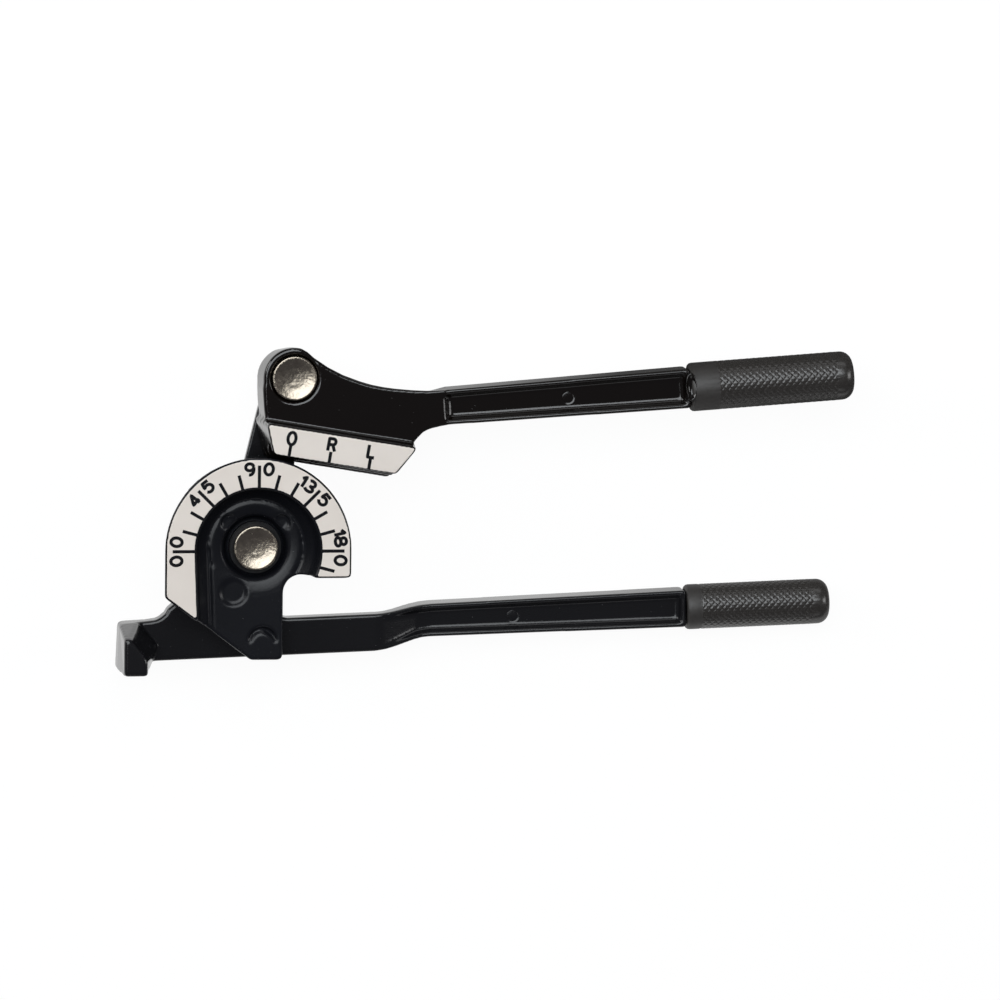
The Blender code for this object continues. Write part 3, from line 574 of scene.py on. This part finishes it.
# %% [markdown]
# ## The link arm
# The link is cut from flat steel and painted like the castings, with its edges only
# slightly broken. Smaller voxels and few passes leave it crisper than a casting. A
# Bevel would do as well here, but one way for all painted pieces keeps them alike.

# %% Skin of the link arm
link_skin = cast_skin("link_arm", voxel=0.00045, passes=4)
add_piece("link_arm_steel", link_skin, black_enamel_cool_painted_reflection, "link", ["link_arm"])

# %% [markdown]
# ## Moulded vinyl
# The grips are black vinyl sleeves, moulded and pushed over the bar's tang. Vinyl has a
# waxy sheen rather than a clear gloss, and a hand wears it duller where it holds most.
# A texture of wear could be painted, but two versions of one material are enough here:
# a shinier one for the knurl and a dull one for the plain collar.

# %% Moulded vinyl
VINYL_GRAIN_MM = 1.429
VINYL_GRAIN_HEIGHT = 0.0003


def moulded_vinyl(name, gloss):
    # The mould's fine grain is drawn as coarse as a millimetre and a half
    material, tree, shader, grain = grained(
        name, VINYL_GRAIN_MM, detail=4.0, tones=("#24221f", "#353230"), gloss=gloss, IOR=1.6,
    )
    bump = add_node(
        tree, "ShaderNodeBump", {"Strength": 0.08, "Distance": VINYL_GRAIN_HEIGHT},
        {"Height": grain},
    )
    tree.links.new(bump.outputs["Normal"], shader.inputs["Normal"])
    return material


vinyl = moulded_vinyl("moulded_black_vinyl", gloss=(0.22, 0.32))
dull_vinyl = moulded_vinyl("moulded_black_vinyl_dull", gloss=(0.45, 0.58))
print("Vinyls", vinyl.name, dull_vinyl.name)

# %% [markdown]
# ## The diamonds of the knurl
# The sleeves are covered with small raised diamonds, so that an oily hand doesn't slip.
# They could be separate small shapes, or a bump in the material. Separate shapes would
# be thousands, and a bump has no outline against the light. So a formula gives each
# point of the sleeve its height: two families of grooves wind round it like opposite
# screw threads, and a point rises with its distance from both.

# %% Height of a diamond
KNURL_PITCH = 0.0030
DIAMOND_WIDTH = 0.0032
DIAMOND_STEEPNESS = 1.8


def tooth(place):
    # 0 at whole numbers and 1 halfway between them
    return 1 - abs(2 * (place - math.floor(place)) - 1)


def diamond(along, turn, around):
    # 1 on top of a diamond and 0 in the grooves between them
    first = tooth(along / KNURL_PITCH + turn * around)
    second = tooth(along / KNURL_PITCH - turn * around)
    return min(min(first, second) * DIAMOND_STEEPNESS, 1)


print("Top of a diamond", diamond(KNURL_PITCH / 2, 0, 0), "and groove", diamond(0, 0, 0))

# %% [markdown]
# ## The outline of a grip
# A grip is round, so half of its outline is enough: it starts on the axis at the bottom
# of the bore, turns over the lip at the mouth, runs along the outside and closes over
# the domed end. A cylinder with a bevel could be the start, but it has no rows along
# its side, and the knurled stretch needs many, because only points can rise.

# %% Outline of a grip
KNURL_DEPTH = 0.00020
KNURL_ROWS_PER_PITCH = 10
TANG_BORE = 0.0058
TANG_END_WALL = 0.0117
BORE_MOUTH = [(0, 0.0012), (0.0008, 0.0004)]
LIP = [(-0.0016, 0.0003), (-0.0008, 0.0005), (-0.0002, 0.0012), (0, 0.0022)]
COLLAR_STEP = 0.0012
GRIP_CAP = 0.0085
CAP_STEP = 0.0005
GRIP_DOME = 0.0055
DOME_STEPS = 8


def grip_profile(radius, length, collar):
    # Pairs of distance from the axis and distance from the mouth
    bottom = length - TANG_END_WALL
    profile = [(0, bottom), (TANG_BORE, bottom)]
    profile += [(TANG_BORE + out, along) for out, along in BORE_MOUTH]
    profile += [(radius + out, along) for out, along in LIP]
    profile.append((radius, collar - COLLAR_STEP))
    rows = round((length - GRIP_CAP - collar) / KNURL_PITCH * KNURL_ROWS_PER_PITCH)
    for row in range(rows + 1):
        along = collar + row * KNURL_PITCH / KNURL_ROWS_PER_PITCH
        profile.append((radius - KNURL_DEPTH, along))
    cap = radius - KNURL_DEPTH / 4
    profile += [(cap, length - GRIP_CAP + CAP_STEP), (cap, length - GRIP_DOME)]
    for step in range(1, DOME_STEPS + 1):
        angle = math.radians(90) * step / DOME_STEPS
        inward = GRIP_DOME * (1 - math.cos(angle))
        back = GRIP_DOME * (1 - math.sin(angle))
        profile.append((cap - inward, length - back))
    return profile + [(0, length)]


print("Rows in each diamond", KNURL_ROWS_PER_PITCH)

# %% [markdown]
# ## Spinning an outline
# A round piece can be a cylinder that is pushed into shape, or an outline that is spun
# about its axis. Spinning is like the lathe that made the mould, and it takes any
# outline. Where the outline touches the axis, merging closes the pole.

# %% Spin an outline
def spun(profile, steps):
    shape = bmesh.new()
    points = [shape.verts.new((radius, 0, height)) for radius, height in profile]
    edges = [shape.edges.new(pair) for pair in zip(points, points[1:])]
    bmesh.ops.spin(
        shape, geom=points + edges, cent=(0, 0, 0), axis=(0, 0, 1),
        angle=math.tau, steps=steps, use_merge=True,
    )
    bmesh.ops.remove_doubles(shape, verts=shape.verts[:], dist=MERGE_DISTANCE)
    return shape


print("A full turn is", math.tau, "radians")

# %% [markdown]
# ## The knurled grips
# Each sleeve is spun upright, knurled, and then laid along its bar. It could be made in
# its place at once, but the formula is simple only while the axis is Z and the mouth
# lies at zero. The plain collar near the mouth gets the duller vinyl.

# %% Knurled grips
GRIP_STEPS = 264
KNURL_SKIN = 0.002


def raise_diamonds(shape, radius, length, collar):
    around = round(math.tau * radius / DIAMOND_WIDTH)
    for vertex in shape.verts:
        x, y, along = vertex.co
        out = math.hypot(x, y)
        # Only the sleeve's outside rises, and not the bore
        if collar < along < length - GRIP_CAP and out > radius - KNURL_SKIN:
            raised = KNURL_DEPTH * diamond(along, math.atan2(y, x) / math.tau, around) + out
            vertex.co.x, vertex.co.y = raised * x / out, raised * y / out
    print(around, "diamonds round the grip")


def knurled_grip(name, body, node, radius, length, collar, lean):
    shape = spun(grip_profile(radius, length, collar), GRIP_STEPS)
    raise_diamonds(shape, radius, length, collar)
    # The plain collar is handled most and has lost its shine
    for face in shape.faces:
        face.material_index = int(face.calc_center_median().z < collar)
    turn = Matrix.Rotation(lean, 4, "Z") @ Matrix.Rotation(math.radians(90), 4, "Y")
    # The mouth lies half the grip's length back from the middle of its node
    mouth = node_middle(node) - Vector((math.cos(lean), math.sin(lean), 0)) * length / 2
    bmesh.ops.transform(shape, matrix=Matrix.Translation(mouth) @ turn, verts=shape.verts[:])
    piece = add_piece(name, shape, vinyl, body, [node])
    piece.data.materials.append(dull_vinyl)
    return piece


knurled_grip(
    "upper_grip_sleeve", "handle", "upper_grip",
    radius=0.01125, length=0.077, collar=0.0135, lean=UPPER_BAR_LEAN,
)
knurled_grip(
    "lower_grip_sleeve", "root", "lower_grip",
    radius=0.0105, length=0.068, collar=0.0075, lean=LOWER_BAR_LEAN,
)

# %% [markdown]
# ## The boss at the end of the upper panel
# The sunk panel of the upper bar ends at the grip in a rimmed oval with a hollow top.
# It could be cut into the casting, but its rim is finer than the skin's voxels. A
# small spun dish, pressed narrow along the bar, keeps the rim crisp and catches light
# as the real one does.

# %% Boss at the panel's end
BOSS_PLACE = (0.2006, 0.0742, 0.0293)
BOSS_NARROWING = 0.4
BOSS_STEPS = 64
# Pairs of distance from the axis and height above the place
BOSS_PROFILE = [
    (0, -0.0030), (0.0066, -0.0030), (0.0066, 0.0012), (0.0064, 0.0016), (0.0060, 0.0018),
    (0.0055, 0.0017), (0.0045, 0.0008), (0.0025, 0.0002), (0, 0),
]

boss = spun(BOSS_PROFILE, BOSS_STEPS)
bmesh.ops.scale(boss, vec=(BOSS_NARROWING, 1, 1), verts=boss.verts[:])
boss_turn = Matrix.Translation(BOSS_PLACE) @ Matrix.Rotation(UPPER_BAR_LEAN, 4, "Z")
bmesh.ops.transform(boss, matrix=boss_turn, verts=boss.verts[:])
add_piece("upper_panel_end_boss", boss, black_enamel_warm_painted_reflection, "handle")

# %% [markdown]
# ## Ejector marks
# A steel pin pushes each casting out of its mould, and leaves a small round mark in the
# panel. The eye sees it as a thin bright crescent. A bump can't bend the light in so
# thin a line, so each mark is a flat disc with a narrow rounded edge, sunk into the
# panel until only its edge stands out.

# %% Ejector marks
EJECTOR_RADIUS = 0.0027
EJECTOR_THICKNESS = 0.0006
EJECTOR_EDGE = 0.00025
EJECTOR_SEGMENTS = 48
UPPER_EJECTOR = (0.14418, 0.06883, 0.02432)
LOWER_EJECTOR = (0.12280, -0.03551, 0.00182)


def ejector_mark(name, place, paint, body):
    # The place is the middle of the disc's top
    shape = bmesh.new()
    bmesh.ops.create_cone(
        shape, cap_ends=True, segments=EJECTOR_SEGMENTS,
        radius1=EJECTOR_RADIUS, radius2=EJECTOR_RADIUS, depth=EJECTOR_THICKNESS,
    )
    rim = [edge for edge in shape.edges if min(v.co.z for v in edge.verts) > 0]
    bmesh.ops.bevel(
        shape, geom=rim, offset=EJECTOR_EDGE, affect="EDGES", segments=3, profile=0.5,
        material=-1,
    )
    middle = Vector(place) - Vector((0, 0, EJECTOR_THICKNESS / 2))
    bmesh.ops.translate(shape, vec=middle, verts=shape.verts[:])
    return add_piece(name, shape, paint, body)


ejector_mark("upper_ejector_mark", UPPER_EJECTOR, black_enamel_warm_painted_reflection, "handle")
ejector_mark("lower_ejector_mark", LOWER_EJECTOR, black_enamel_cool_painted_reflection, "root")

# %% [markdown]
# ## Screen printing ink
# The scale is printed through a screen in black ink. Ink is matt and almost without a
# mirror of its own, so the eye sees it darker than the gloss paint beside it. A plain
# black would do for the colour, but the usual IOR lets the white lamp turn it grey, so
# this ink has a lower one.

# %% Screen printing ink
# The ink's own grain is drawn as coarse as two thirds of a millimetre
ink, *_ = grained(
    "screen_printed_ink", grain_mm=0.6667, detail=3.0, tones=("#020206", "#08080f"),
    gloss=(0.5, 0.65), IOR=1.25,
)
print("Ink", ink.name)

# %% [markdown]
# ## The strokes of the signs
# The numbers and letters are plain strokes of one width with round ends. A font could
# set them, but its strokes change in width, and its shapes are a design of their own.
# So each sign is a few centre lines, made of straight stretches and parts of ellipses,
# in a box that the sign's own size then stretches.

# %% Centre lines of the signs
FULL_TURN = (-90, 270)


def bow(centre, radii, start, end, steps=14):
    # Part of an ellipse, with angles in degrees from the right, anticlockwise
    points = []
    for step in range(steps + 1):
        angle = math.radians(start + (end - start) * step / steps)
        across, up = radii[0] * math.cos(angle), radii[1] * math.sin(angle)
        points.append((centre[0] + across, centre[1] + up))
    return points


# Each sign lies in a box from -0.5 to 0.5 across and up
OVAL = bow((0, 0), (0.5, 0.5), *FULL_TURN, steps=28)
SIGNS = {
    "0": [OVAL],
    "1": [[(-0.38, 0.2), (0.12, 0.5), (0.12, -0.5)]],
    "3": [
        bow((-0.04, 0.25), (0.44, 0.25), 150, -90) + bow((-0.04, -0.26), (0.54, 0.24), 90, -150),
    ],
    "4": [[(0.22, -0.5), (0.22, 0.5), (-0.5, -0.24), (0.5, -0.24)]],
    "5": [
        [(0.42, 0.5), (-0.36, 0.5), (-0.44, 0.04)] + bow((0.0, -0.16), (0.5, 0.34), 140, -150),
    ],
    "8": [
        bow((0, 0.25), (0.4, 0.25), *FULL_TURN, steps=24),
        bow((0, -0.25), (0.5, 0.25), *FULL_TURN, steps=24),
    ],
    "9": [
        bow((0, 0.19), (0.47, 0.31), 0, 360, steps=24)
        + bow((-0.05, 0.05), (0.52, 0.55), 12, -105),
    ],
    "O": [OVAL],
    "R": [
        [(-0.5, -0.5), (-0.5, 0.5), (0.1, 0.5)]
        + bow((0.1, 0.26), (0.38, 0.24), 90, -90) + [(-0.5, 0.02)],
        [(0.1, 0.02), (0.5, -0.5)],
    ],
    "L": [[(-0.5, 0.5), (-0.5, -0.5), (0.5, -0.5)]],
}
print("Signs", "".join(SIGNS))

# %% [markdown]
# ## From centre lines to ink
# The marks could be an image on the face, but that blurs when the view comes close. A
# curve with a round bevel draws each stroke like a lettering pen. The whole drawing is
# then pressed flat until it is as thin as ink.

# %% Draw the strokes and press them flat
INK_WIDTH = 0.0015
INK_THICKNESS = 0.00006
# How far the middle of the ink lies behind the model's front
INK_DEPTH = 0.000038
INK_STEP = 0.0003


def stepped(points):
    # Short steps keep a stroke's width up to its corners
    close = [Vector(points[0])]
    for point in points[1:]:
        start, end = close[-1], Vector(point)
        steps = max(1, round((end - start).length / INK_STEP))
        close += [start.lerp(end, step / steps) for step in range(1, steps + 1)]
    return close


def pen_curve(name, strokes):
    # Centre lines in metres, as a curve with the width of the pen
    lines = bpy.data.curves.new(name, "CURVE")
    lines.dimensions = "3D"
    lines.bevel_depth = INK_WIDTH / 2
    lines.bevel_resolution = 2
    lines.use_fill_caps = True
    for points in strokes:
        line = lines.splines.new("POLY")
        closed = (Vector(points[0]) - Vector(points[-1])).length < MERGE_DISTANCE
        kept = stepped(points)[:-1] if closed else stepped(points)
        line.points.add(len(kept) - 1)
        line.use_cyclic_u = closed
        for point, (x, y) in zip(line.points, kept):
            point.co = (x, y, 0, 1)
    return lines


def ink_marks(name, strokes, body):
    pen = bpy.data.objects.new("pen", pen_curve(name, strokes))
    bpy.context.scene.collection.objects.link(pen)
    shape = bmesh.new()
    shape.from_mesh(pen.to_mesh())
    bpy.data.objects.remove(pen, do_unlink=True)
    bmesh.ops.scale(shape, vec=(1, 1, INK_THICKNESS / INK_WIDTH), verts=shape.verts[:])
    bmesh.ops.translate(shape, vec=(0, 0, FRONT - INK_DEPTH), verts=shape.verts[:])
    marks = add_piece(name, shape, ink, body)
    # Flat faces, because ink pressed this thin has no round side to catch light
    marks.data.shade_flat()
    return marks


def sign_strokes(sign, centre, size, turn):
    # The strokes of one sign, whose top points along the turn
    sign_turn = Matrix.Rotation(turn, 2)
    width, height = size
    placed = []
    for points in SIGNS[sign]:
        spots = [sign_turn @ Vector((x * width, y * height)) for x, y in points]
        placed.append([tuple(Vector(centre) + spot) for spot in spots])
    return placed


print("Ink is", INK_THICKNESS * 1000, "mm thick")

# %% [markdown]
# ## The ticks of the degree scale
# The ring of the form is a protractor, with a tick every 15 degrees and a long one
# every 45. Fourteen ticks placed by hand would never quite line up, so a loop turns
# each reading into an angle. The scale starts at the left and runs clockwise.

# %% Ticks of the degree scale
RING_INNER = 0.0289
SHORT_TICK = 0.0362
LONG_TICK = 0.0395
TICK_DEGREES = 15
LONG_TICK_DEGREES = 45
LAST_TICK = 195


def ring_point(reading, radius):
    angle = math.radians(180 - reading)
    return Vector((radius * math.cos(angle), radius * math.sin(angle)))


strokes = []
for reading in range(0, LAST_TICK + 1, TICK_DEGREES):
    reach = LONG_TICK if reading % LONG_TICK_DEGREES == 0 else SHORT_TICK
    strokes.append([tuple(ring_point(reading, RING_INNER)), tuple(ring_point(reading, reach))])
print(len(strokes), "ticks")

# %% [markdown]
# ## The numbers of the degree scale
# Each long tick runs through the middle of its number, so the signs stand before and
# after it. They could be set in a straight line, but on a ring this small the outer
# ones would leave the print, so each leans with its own place on the ring.

# %% Numbers of the degree scale
SIGN_RADIUS = 0.0380
SIGN_SIZE = (0.0039, 0.0051)
ONE_SIZE = (0.0033, 0.0051)
SIGN_OFFSET = 0.0044
SIGN_STEP = 0.0039
# The signs before and after each long tick
LABELS = {0: ("0", "0"), 45: ("4", "5"), 90: ("9", "0"), 135: ("13", "5"), 180: ("18", "0")}

for reading, (before, after) in LABELS.items():
    turn = math.radians(90 - reading)
    places = [(sign, -SIGN_OFFSET - step * SIGN_STEP) for step, sign in enumerate(before[::-1])]
    places += [(sign, SIGN_OFFSET) for sign in after]
    for sign, shift in places:
        lean = shift / SIGN_RADIUS
        spot = ring_point(reading + math.degrees(lean), SIGN_RADIUS)
        size = ONE_SIZE if sign == "1" else SIGN_SIZE
        strokes += sign_strokes(sign, spot, size, turn - lean)
ink_marks("form_scale_marks", strokes, "root")

# %% [markdown]
# ## The reference marks on the shoe
# The shoe has three marks, O, R and L, each with a tick that is read against the ring.
# They could be part of the ring's drawing, but then they would stay behind when the
# handle swings. So they are drawn in the shoe's own directions and ride on the handle.

# %% Reference marks
SHOE_LEAN = math.radians(-9.3)
# Place along the shoe and width of each sign
SHOE_MARKS = {"O": (0.0019, 0.0036), "R": (0.0206, 0.0032), "L": (0.0391, 0.0030)}
SHOE_SIGN_DEPTH = 0.0263
SHOE_SIGN_HEIGHT = 0.0057
SHOE_TICK = (0.0295, 0.0349)


def shoe_point(along, depth):
    # Measured from the upper pivot, along the shoe and down toward the ring
    return UPPER_PIVOT + Matrix.Rotation(SHOE_LEAN, 2) @ Vector((along, -depth))


strokes = []
for sign, (along, width) in SHOE_MARKS.items():
    size = (width, SHOE_SIGN_HEIGHT)
    strokes += sign_strokes(sign, shoe_point(along, SHOE_SIGN_DEPTH), size, SHOE_LEAN)
    strokes.append([tuple(shoe_point(along, depth)) for depth in SHOE_TICK])
ink_marks("shoe_reference_marks", strokes, "handle")

# %% [markdown]
# ## The white sweep
# A sweep is the sheet of white paper that a small product lies on. It could be a box or
# a disc, but one large square face at the height of the lowest point is all that the
# camera and the shadows need.

# %% White sweep
SWEEP_SIZE = 6.0

sheet = bmesh.new()
bmesh.ops.create_grid(sheet, x_segments=1, y_segments=1, size=SWEEP_SIZE / 2)
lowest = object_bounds()[0].z
bmesh.ops.translate(sheet, vec=(0, 0, lowest), verts=sheet.verts[:])
sweep_mesh = bpy.data.meshes.new("sweep")
sheet.to_mesh(sweep_mesh)
sheet.free()
sweep = bpy.data.objects.new("sweep", sweep_mesh)
bpy.context.scene.collection.objects.link(sweep)
print("Sweep at", lowest, "m")

# %% [markdown]
# ## Paper that black enamel can mirror
# Black enamel has little colour of its own, so its look is what it mirrors: white from
# the paper and the lamp, dark from the room. Lamps strong enough to make the paper
# mirror white would burn it out for the camera. So the paper glows by itself for rays
# that come off a mirror, and less toward the far right corner, which paints a darker
# reflection into the enamel on the right of the tool. For the camera it is nearly all
# glow too, and only the rest takes shadows.

# %% Paper and its glow in the enamel
PAPER_TONE = "#f4f4f4"
FADE_SLANT = 1.5
FADE_STRETCH = (0.10, 0.30)
FADE_GLOW = (0.95, 0.10)


def mirrored_glow(tree):
    # Full up to 0.10 m on the line X + 1.5 Y, and nearly out from 0.30 m on
    coords = add_node(tree, "ShaderNodeTexCoord", {}).outputs["Object"]
    place = add_node(tree, "ShaderNodeSeparateXYZ", {}, {0: coords})
    away = add_node(
        tree, "ShaderNodeMath", {"operation": "MULTIPLY_ADD", 1: FADE_SLANT},
        {0: place.outputs["Y"], 2: place.outputs["X"]},
    )
    fade = add_node(
        tree, "ShaderNodeMapRange",
        {"From Min": FADE_STRETCH[0], "From Max": FADE_STRETCH[1],
         "To Min": FADE_GLOW[0], "To Max": FADE_GLOW[1]},
        {0: away.outputs[0]},
    )
    return fade.outputs[0]


paper = bpy.data.materials.new("white_paper_sweep")
paper.use_nodes = True
tree = paper.node_tree
matt = tree.nodes["Principled BSDF"]
matt.inputs["Base Color"].default_value = colour(PAPER_TONE)
matt.inputs["Roughness"].default_value = 0.9
matt.inputs["Specular IOR Level"].default_value = 0.1
sweep_mesh.materials.append(paper)
print("Glow of the paper in the enamel, near and far", FADE_GLOW)

# %% [markdown]
# ## Which ray sees which paper
# A Light Path node tells a shader what kind of ray has reached it. More lamps could
# light the paper for the camera and the enamel in turn, but they would light the tool
# as well. Real paper doesn't do this, yet it gives the photograph's mirror pictures
# and its clean white ground with one set of lamps.

# %% Share the glow among the rays
SEEN_SHARE = 0.93
SEEN_GLOW = 1.02
WHITE = (1, 1, 1, 1)

seen = add_node(tree, "ShaderNodeLightPath", {})
mirrored = add_node(
    tree, "ShaderNodeMath", {"operation": "MAXIMUM"},
    {0: seen.outputs["Is Glossy Ray"], 1: seen.outputs["Is Transmission Ray"]},
)
strength = add_node(
    tree, "ShaderNodeMix", {"data_type": "FLOAT", 2: SEEN_GLOW},
    {0: mirrored.outputs[0], 3: mirrored_glow(tree)},
)
glow = add_node(
    tree, "ShaderNodeEmission", {"Color": WHITE}, {"Strength": strength.outputs[0]},
)
plain = add_node(
    tree, "ShaderNodeMath", {"operation": "MULTIPLY", 1: SEEN_SHARE},
    {0: seen.outputs["Is Camera Ray"]},
)
share = add_node(
    tree, "ShaderNodeMath", {"operation": "MAXIMUM"},
    {0: plain.outputs[0], 1: mirrored.outputs[0]},
)
blend = add_node(
    tree, "ShaderNodeMixShader", {},
    {0: share.outputs[0], 1: matt.outputs[0], 2: glow.outputs[0]},
)
tree.links.new(blend.outputs[0], tree.nodes["Material Output"].inputs["Surface"])
print("Nodes in the paper", len(tree.nodes))

# %% [markdown]
# ## The room
# The room round the table is dim, and gives the enamel its dark parts. Walls could be
# built, but the world's background does the same with no mesh. Only the camera sees
# it white, so that nothing dark shows past the edge of the sweep.

# %% Room
ROOM_LIGHT = (0.09, 0.09, 0.10, 1.0)

world = bpy.data.worlds.new("studio")
bpy.context.scene.world = world
world.use_nodes = True
tree = world.node_tree
room = tree.nodes["Background"]
room.inputs["Color"].default_value = ROOM_LIGHT
white = add_node(tree, "ShaderNodeBackground", {"Color": WHITE, "Strength": 1.0})
seen = add_node(tree, "ShaderNodeLightPath", {})
backdrop = add_node(
    tree, "ShaderNodeMixShader", {},
    {0: seen.outputs["Is Camera Ray"], 1: room.outputs[0], 2: white.outputs[0]},
)
tree.links.new(backdrop.outputs[0], tree.nodes["World Output"].inputs["Surface"])
print("Room light", ROOM_LIGHT[:3])

# %% [markdown]
# ## The lamps
# The photograph has one large soft lamp above and to the left, and weak light from all
# sides. A small strong lamp would give hard shadows and small hot spots on the gloss.
# Area lamps are softboxes: the enamel mirrors them as broad pale shapes. The key lamp
# is a little blue, which cools the tops of the castings.

# %% Lamps
AIM = (0.08, 0.0, 0.0)
PLAIN_WHITE = (1.0, 1.0, 1.0)
COOL_WHITE = (0.93, 0.97, 1.0)


def softbox(name, place, size, power, tint=PLAIN_WHITE):
    lamp = bpy.data.lights.new(name, "AREA")
    lamp.color = tint
    lamp.shape = "RECTANGLE"
    lamp.size, lamp.size_y = size
    lamp.energy = power
    item = bpy.data.objects.new(name, lamp)
    bpy.context.scene.collection.objects.link(item)
    item.location = place
    item.rotation_euler = (Vector(AIM) - Vector(place)).to_track_quat("-Z", "Y").to_euler()
    print(name, power, "W")
    return item


softbox("key_above", (-0.38, 0.82, 2.35), size=(2.2, 1.55), power=45, tint=COOL_WHITE)
softbox("side_left", (-2.2, 0.9, 1.2), size=(1.0, 1.4), power=22)
softbox("side_top", (0.5, 2.5, 1.2), size=(2.2, 0.8), power=6)
softbox("side_right", (2.4, 0.3, 1.3), size=(0.8, 1.4), power=14)
softbox("side_bottom", (0.2, -2.5, 1.2), size=(2.0, 0.6), power=2.5)

# %% [markdown]
# ## The view transform
# The dressed tool has to stay inside the box of the imported model. The Standard view
# shows a colour as its hex value says, where Blender's default view would soften the
# whites.

# %% View transform
bpy.context.scene.view_settings.view_transform = "Standard"
